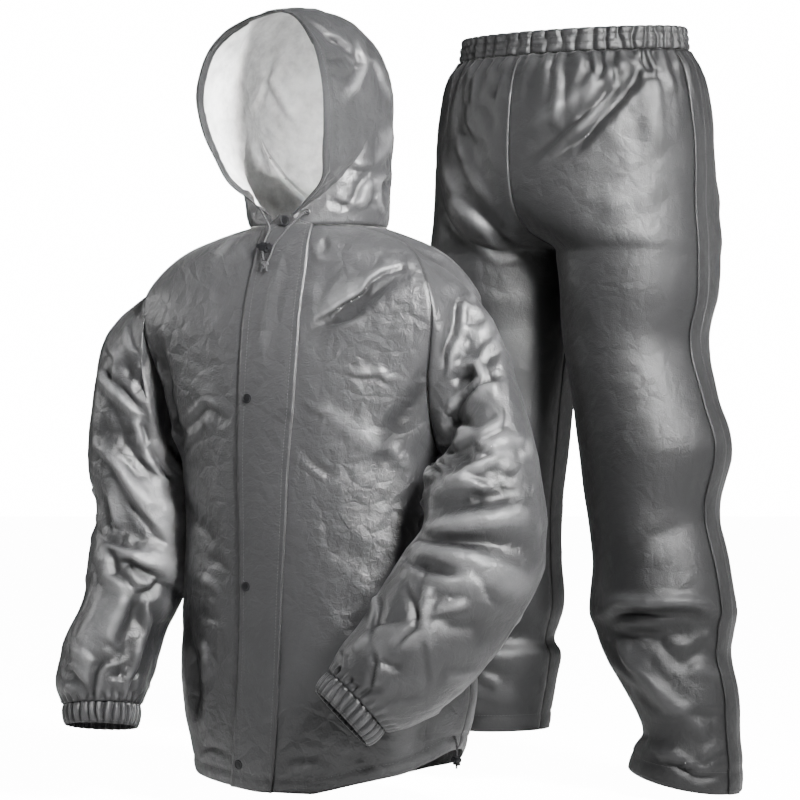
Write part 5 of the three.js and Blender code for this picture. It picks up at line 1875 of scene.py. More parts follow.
    def build(self, drapes: dict, stitching: Stitching) -> None:
        """Builds every piece of the trousers.

        Args:
            drapes: The creases of each panel.
            stitching: Where the stitches go.
        """
        for side in Side:
            for face in Face:
                cloth = self.make_panel(side, face, drapes[(side, face)])
                self.panels[(side, face)] = cloth
                name = f"trouser_{face.value}_{side.name.lower()}"
                made = cloth.built(name + "_cloth", TROUSER_CLOTH, FLEECE)
                ride_sheet(made, name)
                last = cloth.points.shape[0] - 1
                across = np.linspace(0, cloth.points.shape[1] - 1, 200)
                stitching.sew(*cloth.place(last - 24.0 / LEG_FINE_SPACE + 0 * across, across))
            self.build_strip(side, stitching)
        self.build_waistband(stitching)

    def build_strip(self, side: Side, stitching: Stitching) -> None:
        """Builds the strip over one outer seam.

        Args:
            side: The wearer's side.
            stitching: Where the stitches go.
        """
        front, back = self.panels[(side, Face.FRONT)], self.panels[(side, Face.BACK)]
        rows = np.arange(1, front.points.shape[0] - 0.5)
        parts = []
        for cloth, signs in ((back, np.linspace(1, 0, 5)), (front, np.linspace(0, 1, 5)[1:])):
            pitch = np.linalg.norm(cloth.points[:, 1] - cloth.points[:, 0], axis=-1)[rows.astype(int)]
            width = self.strip_half / pitch
            for share in signs:
                points, normals = cloth.place(rows, width * share)
                parts.append(points + normals * (CLOTH + LAYER_GAP + 1.2 * (1 - share) ** 2))
        cloth = Cloth(np.stack(parts, axis=1))
        outwards = front.normals[rows.astype(int), 0]
        if np.sum(cloth.normals[:, 4] * outwards) < 0:
            cloth.flip = True
            cloth.find_normals()
        name = f"side_strip_{side.name.lower()}"
        made = cloth.built(name + "_cloth", TROUSER_CLOTH, TROUSER_CLOTH)
        ride_sheet(made, name)
        down = np.linspace(0, cloth.points.shape[0] - 1, 800)
        for column in (0.7, 7.3):
            stitching.sew(*cloth.place(down, column))

    def build_waistband(self, stitching: Stitching) -> None:
        """Builds the elastic waistband.

        Args:
            stitching: Where the stitches go.
        """
        count = self.waist_gathers * 12
        columns = np.arange(count)[None, :]
        rows = np.linspace(0, 1, 17)[:, None]
        angle = 2 * math.pi * columns / count
        depth = np.where(np.sin(angle) > 0, SEAT.data[-1, 3], SEAT.data[-1, 2])
        tall = WAIST_TOP - WAIST_BOTTOM
        smoothed = np.broadcast_arrays(self.waist_half * np.cos(angle), depth * np.sin(angle), rows * tall)
        flat = np.stack(smoothed, axis=-1)
        uneven = self.noise.at(flat, 24.0)
        phase = self.waist_gathers * angle + math.pi / 4 + uneven * 1.8
        channels = np.abs(np.sin(math.pi * rows * 3.0)) ** 0.5
        wave = np.sin(phase) + 0.3 * np.sin(2 * phase + 1.1)
        wave = wave * (0.55 + 0.6 * channels) + 0.9 * channels - 0.6
        wave = wave * (0.85 + 0.3 * uneven)
        shrink = 4 * (1 - rows)
        z = WAIST_TOP + (WAIST_BOTTOM + 1.2 - WAIST_TOP) * rows
        x = (self.waist_half + 2.4 * wave - shrink) * np.cos(angle)
        y = (depth + 2.4 * wave - shrink) * np.sin(angle)
        points = turned(x, y, z + WAIST_DIP * np.sin(angle), TROUSERS_YAW, TROUSERS_CENTRE)
        cloth = Cloth(points, closed=True)
        # The gathers' wave paints light and shade: lighter on the puffs, darker in the channels and between
        # the gathers.
        cloth.fold = wave * 2.0
        made = cloth.built("waistband_cloth", TROUSER_CLOTH, TROUSER_CLOTH)
        ride_sheet(made, "waistband")
        for row in (1.0, 5.33, 10.67, 15.2):
            stitching.sew(*cloth.place(row, np.linspace(0, count, 1500)))


# Cords and hardware


@dataclass
class DrawCords:
    """The hood's and the hem's drawcords, with their locks, eyelets and knot."""

    body: JacketBody
    diameter: float = 3.0
    right_strand: tuple = (
        (-19, -3, 9),
        (-20, -16, 9.5),
        (-20, -30, 9.5),
        (-19, -38, 9.5),
        (-15.5, -46.6, 9),
    )
    left_strand: tuple = ((8, -3, 8), (1, -13, 7), (-6, -24, 7), (-8, -40, 7.5), (-10.5, -46.6, 8.5))

    def over(self, row: Sequence[float]) -> Array:
        """A place over the fronts, from its x, z and lift."""
        point, normal = self.body.on_front(row[0], row[1])
        return point + normal * row[2]

    def strand(
        self, name: str, path: Array, pieces: Sequence[bpy.types.Object], far_end: str, lay: str
    ) -> None:
        """One strand as a round curve.

        Args:
            name: The CAD node it stands for.
            path: Its corners, in millimetres.
            pieces: What is on it; not used.
            far_end: What it ends in; not used.
            lay: How it lies; not used.
        """
        keys = np.concatenate([[0.0], np.cumsum(np.linalg.norm(np.diff(path, axis=0), axis=1) ** 0.5)])
        line = hermite(keys, path, np.linspace(0, keys[-1], 26)) / 1000.0
        curve = bpy.data.curves.new(name + "_cord", "CURVE")
        curve.dimensions = "3D"
        curve.bevel_depth = self.diameter / 2000.0
        curve.bevel_resolution = 4
        curve.use_fill_caps = True
        spline = curve.splines.new("POLY")
        spline.points.add(len(line) - 1)
        weighted = np.concatenate([line, np.ones((len(line), 1))], axis=1)
        spline.points.foreach_set("co", weighted.reshape(-1))
        spline.use_smooth = True
        curve.materials.append(CORD.material())
        made = bpy.data.objects.new(name + "_strand", curve)
        bpy.context.collection.objects.link(made)
        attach(made, "root")
        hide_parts(name)

    def build(self) -> None:
        """Builds the three strands and dresses the hardware."""
        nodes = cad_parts
        for name, finish in (
            ("hood_cord_lock", ACETAL),
            ("hem_cord_lock", ACETAL),
            ("hood_eyelet_left", ACETAL),
            ("hood_eyelet_right", ACETAL),
            ("hem_eyelet", ACETAL),
            ("hood_cord_knot", CORD),
        ):
            dress(nodes[name], finish)
        for side, strand, pieces in (
            ("right", self.right_strand, [nodes["hood_cord_lock"], nodes["hood_cord_knot"]]),
            ("left", self.left_strand, []),
        ):
            low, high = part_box(f"hood_eyelet_{side}")
            eyelet = np.array((low + high) / 2) * 1000
            places = np.array([self.over(row) for row in strand])
            away = unit(places[0] - eyelet + np.array([0.0, 0.0, 30.0]))
            path = np.concatenate([[eyelet - away * 1.5, eyelet + away * 3.0], places])
            self.strand(f"hood_cord_{side}", path, pieces, "knot", "hanging")
        low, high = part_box("hem_eyelet")
        eyelet = np.array((low + high) / 2) * 1000
        row = (2 * ARM_ROWS - 0.45) * self.body.row_steps
        column = (FRONT_COLUMNS - 0.45) * self.body.front_steps
        _, normal = self.body.fronts[Side.LEFT].place(row, column)
        outs = ((-0.8, 0), (2.5, 0), (5.5, 8), (6.0, 20), (5.5, 36), (5.5, 41))
        path = np.array([eyelet + normal * out - np.array([0.0, 0.0, drop]) for out, drop in outs])
        self.strand("hem_cord", path, [nodes["hem_cord_lock"]], "fitting", "hanging")


def dress(node: bpy.types.Object, finish: Finish) -> None:
    """Gives a CAD node its finish.

    Args:
        node: The node, whose mesh stays as it is.
        finish: Its material.
    """
    node.data.materials.clear()
    node.data.materials.append(finish.material())


# The studio


@dataclass(frozen=True)
class Softbox:
    """A soft studio light, with its size and place in metres."""

    name: str
    size: float
    power: float
    place: tuple[float, float, float]
    towards: tuple[float, float, float]
    spread: float = 180.0  # degrees; a honeycomb in front of it makes it narrow

    def build(self) -> bpy.types.Object:
        """The lamp, aimed."""
        lamp = bpy.data.lights.new(self.name, "AREA")
        lamp.shape, lamp.size, lamp.energy = "DISK", self.size, self.power
        lamp.spread = math.radians(self.spread)
        made = bpy.data.objects.new(self.name, lamp)
        bpy.context.collection.objects.link(made)
        made.location = self.place
        way = Vector(self.towards) - Vector(self.place)
        made.rotation_euler = way.to_track_quat("-Z", "Y").to_euler()
        return made


@dataclass(frozen=True)
class Studio:
    """A white paper sweep, softboxes and the camera."""

    floor: float = -0.786
    view: float = 14.0  # degrees across the picture
    ambient: float = 0.02  # the light that the white room throws on the suit
    backdrop: float = 16.0  # how bright the room is behind it
    lights: tuple = (
        Softbox("key softbox", 0.5, 260.0, (1.45, -2.1, 2.05), (0.16, 0.0, -0.2)),
        Softbox("side softbox", 0.5, 22.0, (2.6, -1.6, 0.8), (0.1, 0.0, -0.3)),
        Softbox("chest softbox", 0.6, 14.0, (1.35, -2.1, 1.05), (0.1, 0.0, -0.05), 26.0),
        Softbox("fill softbox", 0.8, 15.0, (-2.3, -2.6, 0.8), (0.0, 0.0, -0.3)),
        Softbox("left rim softbox", 0.6, 22.0, (-2.3, 0.5, 0.4), (-0.1, 0.0, -0.3)),
        Softbox("right rim softbox", 0.6, 9.0, (2.7, 0.8, 0.2), (0.45, 0.0, -0.3)),
        Softbox("hood softbox", 0.3, 0.4, (-0.75, -2.5, -0.5), (-0.05, 0.0, 0.07), 8.0),
    )

    def build(self) -> None:
        """Builds the floor, the lights, the world and the camera."""
        bpy.ops.object.select_all(action="DESELECT")
        bpy.ops.mesh.primitive_plane_add(size=16.0, location=(0.0, 3.0, self.floor))
        sweep = bpy.context.object
        sweep.name = "paper_sweep"
        bpy.ops.object.transform_apply(location=True, rotation=True, scale=True)
        sweep.data.materials.append(StudioPaper().material())
        [light.build() for light in self.lights]
        world = bpy.data.worlds.new("studio")
        world.use_nodes = True
        tree = world.node_tree
        light = tree.nodes["Background"]
        light.inputs["Color"].default_value = (1.0, 1.0, 1.0, 1.0)
        path = tree.nodes.new("ShaderNodeLightPath")
        strength = tree.nodes.new("ShaderNodeMapRange")
        strength.inputs["To Min"].default_value = self.ambient
        strength.inputs["To Max"].default_value = self.backdrop
        tree.links.new(path.outputs["Is Camera Ray"], strength.inputs["Value"])
        tree.links.new(strength.outputs[0], light.inputs["Strength"])
        bpy.context.scene.world = world
        camera = bpy.data.cameras.new("camera")
        camera.sensor_width = 36.0
        camera.lens = 18.0 / math.tan(math.radians(self.view / 2))
        camera.clip_end = 100.0
        made = bpy.data.objects.new("camera", camera)
        bpy.context.collection.objects.link(made)
        made.location = (EYE[0] / 1000, EYE[1] / 1000, EYE[2] / 1000)
        made.rotation_euler = (math.radians(90.0), 0.0, 0.0)
        bpy.context.scene.camera = made


def main() -> None:
    """Builds the suit, piece by piece."""
    noise = Noise(7)
    jacket_thread = Stitching("jacket_stitching", JACKET_THREAD)
    trouser_thread = Stitching("trouser_stitching", TROUSER_THREAD)
    body = JacketBody(noise)
    body.build({Side.LEFT: FRONT_LEFT, Side.RIGHT: FRONT_RIGHT, "back": JACKET_BACK}, jacket_thread)
    right = Sleeve(Side.RIGHT, noise, RIGHT_SLEEVE, RIGHT_CUFF_END, RIGHT_SLEEVE_FOLDS)
    right.build(SLEEVE_RIGHT, jacket_thread)
    left = Sleeve(Side.LEFT, noise, LEFT_SLEEVE, LEFT_CUFF_END, LEFT_SLEEVE_FOLDS)
    left.build(SLEEVE_LEFT, jacket_thread)
    Hood(noise).build(HOOD, jacket_thread)
    StormFlap(body, noise).build(FLAP, jacket_thread)
    for name in ("snap_neck", "snap_chest", "snap_waist", "snap_hem"):
        dress(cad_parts[name], ACETAL)
    DrawCords(body).build()
    trousers = Trousers(noise)
    trousers.build(
        {
            (Side.LEFT, Face.FRONT): TROUSER_LEFT,
            (Side.RIGHT, Face.FRONT): TROUSER_RIGHT,
            (Side.LEFT, Face.BACK): TROUSER_BACK,
            (Side.RIGHT, Face.BACK): TROUSER_BACK,
        },
        trouser_thread,
    )
    for thread in (jacket_thread, trouser_thread):
        made = thread.built()
        LOG.info("%s: %d faces", made.name, len(made.data.polygons))
    Studio().build()
    meshes = [made.data for made in bpy.data.objects if made.type == "MESH"]
    total = sum(len(polygon.vertices) - 2 for mesh in meshes for polygon in mesh.polygons)
    LOG.info("%d triangles in all", total)


# The sleeves' large folds, as rows of two ends, height and width.
# An end is an angle round the arm and a ring.
RIGHT_SLEEVE_FOLDS = (
    (70, 3.2, 150, 4.3, 9, 16),
    (40, 4.2, 120, 4.9, -10, 14),
    (60, 2.2, 130, 3.1, -8, 14),
    (20, 3.9, 140, 5.5, 8, 14),
    (60, 6.2, 70, 8.4, 6, 16),
    (110, 6.0, 120, 8.4, -6, 13),
    (250, 3.0, 300, 4.6, 8, 18),
    (220, 4.4, 290, 5.2, -7, 16),
)
LEFT_SLEEVE_FOLDS = (
    (60, 2.6, 140, 3.1, 7, 13),
    (40, 3.5, 140, 3.6, -9, 13),
    (50, 3.9, 150, 4.2, 9, 13),
    (40, 4.6, 150, 4.6, -10, 14),
    (30, 5.2, 150, 5.0, 8, 14),
    (20, 5.6, 110, 6.6, -7, 14),
    (80, 6.2, 130, 7.6, 6, 15),
    (250, 3.4, 300, 4.6, 8, 18),
)

# Cut-outs of the photograph, by their left and top pixels and how many times they were enlarged.
HOOD_VIEW = Enlargement(180, 0, 6.53)
UPPER_LEFT = Enlargement(60, 220, 5.807)
UPPER_RIGHT = Enlargement(330, 220, 5.807)
LOWER_LEFT = Enlargement(50, 480, 4.9)
LOWER_RIGHT = Enlargement(270, 560, 5.407)
HIP_VIEW = Enlargement(420, 10, 4.9)
SHIN_VIEW = Enlargement(560, 560, 6.533)
WHOLE = Enlargement(0, 0, 1.0)

# The creases of each piece, as rows of cut-out, height, width, lean, then points that were picked across and
# down in it.
FRONT_RIGHT_CREASES = creases(
    (UPPER_LEFT, -2.6, 5, 0.8, 700, 1230, 840, 1100, 930, 1140, 1020, 1180),
    (UPPER_LEFT, -1.8, 4.5, 0.6, 720, 1380, 760, 1290, 840, 1200),
    (UPPER_LEFT, -1.8, 5, -0.6, 1075, 80, 1120, 180, 1130, 280),
    (UPPER_LEFT, 2, 4, 0, 1010, 100, 960, 170, 900, 215),
    (UPPER_LEFT, 5.5, 6, 0.9, 490, 545, 520, 700, 560, 900, 610, 1100, 660, 1300, 700, 1430),
    (UPPER_LEFT, -2.5, 4, 0, 500, 560, 585, 820, 630, 1000, 690, 1250, 720, 1420),
    (LOWER_LEFT, 1.8, 5, -0.6, 735, 480, 790, 520, 850, 575),
    (LOWER_LEFT, -1.8, 5, 0, 730, 600, 760, 680, 850, 690),
    (LOWER_LEFT, -2.4, 7, 0, 780, 370, 850, 430, 910, 490),
    (LOWER_LEFT, 1.8, 4, 0.5, 730, 790, 770, 830, 760, 900),
    (LOWER_LEFT, 2.2, 7, -0.5, 750, 830, 760, 1000, 740, 1250),
    (LOWER_LEFT, 3.4, 5, 0.8, 665, 700, 680, 900, 700, 1100, 720, 1250),
    (LOWER_LEFT, -2.2, 4, 0, 700, 760, 725, 950, 735, 1150),
    (LOWER_LEFT, -2.4, 4, -0.5, 750, 1310, 820, 1320, 900, 1340),
    (LOWER_LEFT, 1.8, 4, 0, 760, 1340, 730, 1390),
)
FRONT_LEFT_CREASES = creases(
    (
        WHOLE, -3.6, 2.9, 0.7, 308, 330, 330, 315, 347, 303, 364, 291, 371, 282, 383, 273, 402, 268,
        413, 270,
    ),
    (WHOLE, -1.9, 3.4, -0.6, 299, 339, 330, 323, 352, 318, 371, 310),
    (UPPER_LEFT, 1.8, 10, 0, 1500, 230, 1470, 400, 1430, 560, 1420, 760, 1390, 900),
    (UPPER_LEFT, 2.6, 4, -0.8, 1465, 110, 1500, 220, 1545, 235),
    (UPPER_LEFT, -1.8, 4, 0, 1550, 100, 1540, 160, 1500, 220),
    (UPPER_LEFT, -1.8, 2.8, 0.8, 1330, 770, 1380, 760, 1400, 720),
    (UPPER_LEFT, -1.9, 3.6, 0.7, 1370, 1060, 1440, 1130, 1568, 1140),
    (UPPER_LEFT, -3, 3.2, -0.9, 1350, 1290, 1440, 1400, 1568, 1500),
    (UPPER_RIGHT, 2.3, 3.2, -0.7, 60, 870, 150, 895, 290, 895, 340, 930, 400, 940),
    (UPPER_RIGHT, -1.9, 3.2, -0.8, 515, 915, 560, 890, 580, 870),
    (UPPER_RIGHT, -3.5, 14, 0, 650, 740, 600, 900, 500, 1050, 400, 1200, 330, 1400, 300, 1568),
    (LOWER_RIGHT, 1.8, 2.8, -0.8, 55, 265, 110, 300, 170, 370, 210, 415),
    (LOWER_RIGHT, -1.9, 3.6, 0.7, 40, 970, 120, 1040, 160, 1060),
    (LOWER_RIGHT, 3.2, 5.5, 0.6, 60, 1150, 150, 1120, 260, 1110),
    (LOWER_RIGHT, -2.6, 5, 0, 20, 1080, 100, 1070, 180, 1070),
    (LOWER_RIGHT, -2, 4, 0.6, 450, 1040, 520, 1080, 580, 1130),
    (LOWER_RIGHT, 1.8, 2.8, 0, 560, 1090, 600, 1130, 610, 1160),
    (LOWER_RIGHT, -1.8, 3, 0, 850, 870, 855, 1040),
)
FLAP_CREASES = creases(
    (UPPER_LEFT, 2.8, 3.4, -0.5, 1370, 80, 1270, 260, 1230, 400, 1200, 600, 1160, 830, 1170, 880),
    (UPPER_LEFT, -2.2, 7, 0, 1190, 1200, 1300, 1150, 1380, 1060),
)
SLEEVE_RIGHT_CREASES = creases(
    (UPPER_LEFT, 3.2, 4, 0.7, 395, 600, 405, 740, 450, 810),
    (UPPER_LEFT, 3.8, 5, -0.5, 270, 715, 325, 790, 320, 900, 310, 1000),
    (UPPER_LEFT, -6, 8, 0, 340, 800, 380, 900, 500, 1010),
    (UPPER_LEFT, 6.5, 4.8, 0.9, 205, 860, 310, 990, 380, 1060, 465, 1140),
    (UPPER_LEFT, -6, 9, 0, 390, 850, 450, 830, 490, 960, 540, 1080),
    (UPPER_LEFT, 4.2, 4, 0.8, 465, 1140, 440, 1190, 475, 1310),
    (UPPER_LEFT, 4.4, 5, 0.9, 475, 1310, 540, 1430, 600, 1560),
    (WHOLE, 5.5, 5.5, -0.6, 84, 445, 97, 444, 105, 451, 117, 468, 132, 489, 148, 515, 164, 537, 177, 556),
    (UPPER_LEFT, -3.2, 10, 0, 150, 1270, 300, 1230, 460, 1260),
    (UPPER_LEFT, 2, 4, 0, 285, 1100, 310, 1160, 330, 1230),
    (UPPER_LEFT, -1.8, 5, 0, 225, 1130, 270, 1210, 330, 1245),
    (UPPER_LEFT, -2.5, 6, 0, 300, 1330, 400, 1440, 480, 1540),
    (LOWER_LEFT, 4.8, 4.2, -0.7, 280, 30, 320, 160, 355, 250),
    (LOWER_LEFT, -4.4, 4, -0.7, 260, 290, 350, 320, 470, 345),
    (LOWER_LEFT, -2.8, 3.2, 0, 345, 320, 375, 260),
    (LOWER_LEFT, 5.4, 5, 0.8, 245, 310, 275, 400, 280, 470, 340, 520, 390, 570),
    (LOWER_LEFT, -4.8, 5, 0.9, 300, 405, 390, 405, 450, 440, 520, 480, 600, 500),
    (LOWER_LEFT, 3.6, 7, 0, 330, 350, 430, 380, 560, 430, 640, 460),
    (LOWER_LEFT, 3.2, 5, 0, 620, 370, 680, 370, 660, 450),
    (LOWER_LEFT, -3.8, 5, 0.5, 400, 560, 480, 540, 520, 510, 600, 540, 660, 570),
    (LOWER_LEFT, 4.8, 9, 0, 340, 520, 350, 620, 310, 700, 270, 770, 255, 830),
    (LOWER_LEFT, -3.2, 8, 0, 400, 580, 420, 700, 470, 780),
    (LOWER_LEFT, -4.4, 5, -0.8, 500, 560, 510, 700, 480, 800, 430, 950, 400, 1060, 320, 1120),
    (LOWER_LEFT, -2.8, 4.5, 0.5, 535, 700, 520, 800, 500, 960, 470, 1080),
    (LOWER_LEFT, 3.2, 4, 0.7, 90, 825, 150, 840, 200, 900, 225, 925),
    (LOWER_LEFT, -4.4, 3.8, 0.8, 345, 880, 260, 890, 225, 950, 205, 1040, 190, 1110),
    (LOWER_LEFT, -2.8, 4, 0.6, 60, 930, 110, 940, 160, 1000, 190, 1080),
    (LOWER_LEFT, 1.8, 3.2, 0, 70, 1030, 130, 1020),
    (LOWER_LEFT, -2.3, 4, -0.8, 280, 970, 330, 970, 370, 930),
    (LOWER_LEFT, -2.3, 3.6, 0.5, 230, 1040, 290, 1080, 330, 1100),
    (LOWER_LEFT, 2.3, 3.2, 0, 210, 1110, 270, 1060, 300, 1100),
    (LOWER_LEFT, 2.8, 3.8, 0.5, 430, 1050, 440, 1000, 430, 950),
    (LOWER_LEFT, -2, 4, 0.6, 260, 770, 310, 830, 350, 850),
    (LOWER_LEFT, -2, 3.5, 0.5, 300, 1010, 350, 1050, 360, 1100),
)
SLEEVE_LEFT_CREASES = creases(
    (UPPER_RIGHT, -5.5, 5, 0.8, 800, 370, 750, 480, 720, 620, 700, 690, 660, 780, 640, 920),
    (UPPER_RIGHT, 2.8, 3.8, 0.4, 800, 370, 860, 430, 850, 510),
    (UPPER_RIGHT, 3.4, 3.8, 0.6, 750, 490, 850, 515, 920, 560),
    (UPPER_RIGHT, -1.8, 3.2, 0, 820, 540, 780, 590),
    (UPPER_RIGHT, 2.8, 5, -0.5, 930, 590, 860, 650, 720, 640),
    (UPPER_RIGHT, -2.4, 3.2, -0.8, 700, 680, 810, 685),
    (UPPER_RIGHT, 2.4, 4, 0.5, 810, 690, 760, 750, 700, 790),
    (UPPER_RIGHT, -3.4, 4, -0.8, 1000, 735, 930, 780, 900, 850),
    (UPPER_RIGHT, 6.5, 4.2, 0, 740, 850, 870, 845, 880, 900, 830, 960, 760, 1020, 700, 1110, 610, 1170),
    (UPPER_RIGHT, -5, 7, 0, 690, 950, 780, 900, 850, 880),
    (UPPER_RIGHT, -5.5, 4.8, 0.6, 1025, 895, 900, 930, 800, 1010, 740, 1080),
    (UPPER_RIGHT, 3.2, 8, 0, 820, 1010, 900, 970, 1000, 940),
    (UPPER_RIGHT, 2, 3.2, 0.5, 810, 1015, 900, 1060, 985, 1115),
    (UPPER_RIGHT, 5.2, 4.2, 0.5, 985, 1115, 970, 1190, 900, 1240, 840, 1265),
    (UPPER_RIGHT, -5, 5, -0.6, 690, 1120, 740, 1170, 860, 1215),
    (UPPER_RIGHT, 3.2, 6, 0, 620, 1170, 700, 1230, 830, 1250),
    (UPPER_RIGHT, -4.6, 4.2, 0.8, 580, 1315, 640, 1325, 740, 1322, 840, 1270),
    (UPPER_RIGHT, 5, 3.8, -0.8, 840, 1265, 880, 1310, 990, 1370),
    (UPPER_RIGHT, 5, 4.2, -0.8, 990, 1370, 900, 1420, 830, 1445, 690, 1500),
    (UPPER_RIGHT, -6, 10, 0, 660, 1380, 760, 1370, 860, 1360),
    (UPPER_RIGHT, 3.2, 7, 0, 900, 1310, 1020, 1290, 1140, 1250),
    (UPPER_RIGHT, 2.8, 3.8, 0, 1080, 1365, 1140, 1350, 1150, 1260),
    (UPPER_RIGHT, -4.4, 5, 0.6, 600, 1340, 650, 1420, 720, 1460),
    (UPPER_RIGHT, 4.6, 3.8, -0.8, 530, 1440, 540, 1380, 580, 1370, 630, 1430, 680, 1500),
    (UPPER_RIGHT, 4.4, 4.2, -0.8, 480, 1560, 500, 1530, 590, 1465),
    (UPPER_RIGHT, 5.5, 5, 0.8, 700, 1490, 830, 1520, 960, 1560),
    (UPPER_RIGHT, -2.8, 7, 0, 880, 1440, 1000, 1470, 1110, 1500),
    (UPPER_RIGHT, -1.8, 4, 0.5, 960, 640, 900, 700, 860, 760),
    (LOWER_RIGHT, -5, 6, -0.8, 720, 0, 860, 50, 960, 75, 1040, 70),
    (LOWER_RIGHT, 4.8, 10, 0, 860, 100, 1000, 110, 1130, 150, 1220, 215),
    (LOWER_RIGHT, -3.4, 4, -0.7, 1080, 60, 1200, 180, 1310, 320),
    (LOWER_RIGHT, 2.8, 4, 0, 1230, 220, 1310, 320),
    (LOWER_RIGHT, 3.8, 5, -0.8, 860, 310, 960, 270, 1090, 230),
    (LOWER_RIGHT, -3.4, 4, 0.6, 730, 130, 790, 270, 815, 350),
    (LOWER_RIGHT, 4.4, 5, -0.5, 840, 120, 830, 250, 815, 360, 815, 430),
    (LOWER_RIGHT, -2.3, 4, 0, 800, 0, 830, 60, 820, 110),
    (LOWER_RIGHT, -3.8, 3.2, 0.6, 800, 365, 740, 410, 670, 470),
    (LOWER_RIGHT, -2.2, 3.2, 0.5, 815, 380, 830, 480, 850, 620, 855, 720),
    (LOWER_RIGHT, 4.4, 4.2, 0.5, 600, 60, 570, 180, 590, 260, 560, 340, 540, 400),
    (LOWER_RIGHT, -2.3, 4, 0, 640, 190, 590, 280, 550, 370),
    (LOWER_RIGHT, 3.4, 3.4, 0, 540, 410, 490, 460, 450, 495),
    (LOWER_RIGHT, -3.8, 3.2, 0.5, 560, 450, 560, 560, 550, 680, 500, 740),
    (LOWER_RIGHT, -3.8, 3.2, 0.7, 400, 490, 380, 560, 370, 620),
    (LOWER_RIGHT, -3.2, 3.6, 0, 420, 620, 450, 680, 480, 720),
    (LOWER_RIGHT, -2.3, 3.6, 0.6, 480, 740, 560, 700, 620, 690),
    (LOWER_RIGHT, -1.8, 4, -0.6, 560, 800, 700, 760, 850, 730),
    (LOWER_RIGHT, 3.4, 6, 0.5, 930, 700, 980, 640, 1060, 610, 1140, 600),
    (LOWER_RIGHT, 2.2, 4, 0.5, 560, 390, 620, 370, 690, 350),
    (LOWER_RIGHT, -2.5, 5, 0.5, 570, 520, 640, 560, 720, 570),
    (LOWER_RIGHT, -2, 6, 0, 900, 330, 1000, 360, 1150, 350),
)
HOOD_CREASES = creases(
    (HOOD_VIEW, -2.8, 3.6, 0.6, 930, 260, 1020, 270, 1080, 320, 1150, 375),
    (HOOD_VIEW, -2, 3, 0.6, 950, 360, 1000, 390, 1060, 370),
    (HOOD_VIEW, -1.9, 3, 0.5, 980, 470, 1050, 490, 1110, 480),
    (HOOD_VIEW, 3.4, 3.6, -0.6, 1150, 230, 1165, 330, 1180, 400, 1140, 490, 1070, 630),
    (HOOD_VIEW, 1.8, 3, 0, 1200, 410, 1150, 520, 1090, 640),
    (HOOD_VIEW, 2.2, 3.2, -0.6, 1180, 390, 1260, 400, 1300, 500, 1370, 680),
    (HOOD_VIEW, -1.8, 4, 0, 1190, 230, 1230, 320, 1270, 390),
    (HOOD_VIEW, -2.4, 5, 0.5, 1090, 1070, 1180, 1110, 1280, 1110),
    (HOOD_VIEW, 3.8, 4.6, -0.7, 1270, 1160, 1200, 1230, 1170, 1310, 1100, 1360),
    (HOOD_VIEW, 2.8, 3.2, 0.5, 1370, 1120, 1300, 1200, 1290, 1310, 1330, 1400),
    (HOOD_VIEW, -2.8, 4, 0, 1340, 1160, 1360, 1200, 1310, 1240),
    (HOOD_VIEW, -1.9, 5, 0, 1250, 1170, 1260, 1300, 1200, 1380),
    (HOOD_VIEW, -2.3, 5, 0.5, 960, 1280, 1040, 1330, 1110, 1360),
    (HOOD_VIEW, -1.8, 7, 0, 1300, 850, 1280, 1000, 1260, 1080),
    (HOOD_VIEW, 2.3, 6, 0, 1360, 830, 1330, 960, 1280, 1090),
    (HOOD_VIEW, 2.4, 4, -0.6, 310, 1140, 360, 1230, 400, 1310),
)
HOOD_INSIDE_CREASES = creases(
    (HOOD_VIEW, -2, 4.2, -0.6, 660, 1100, 700, 1040, 800, 990, 930, 950),
)
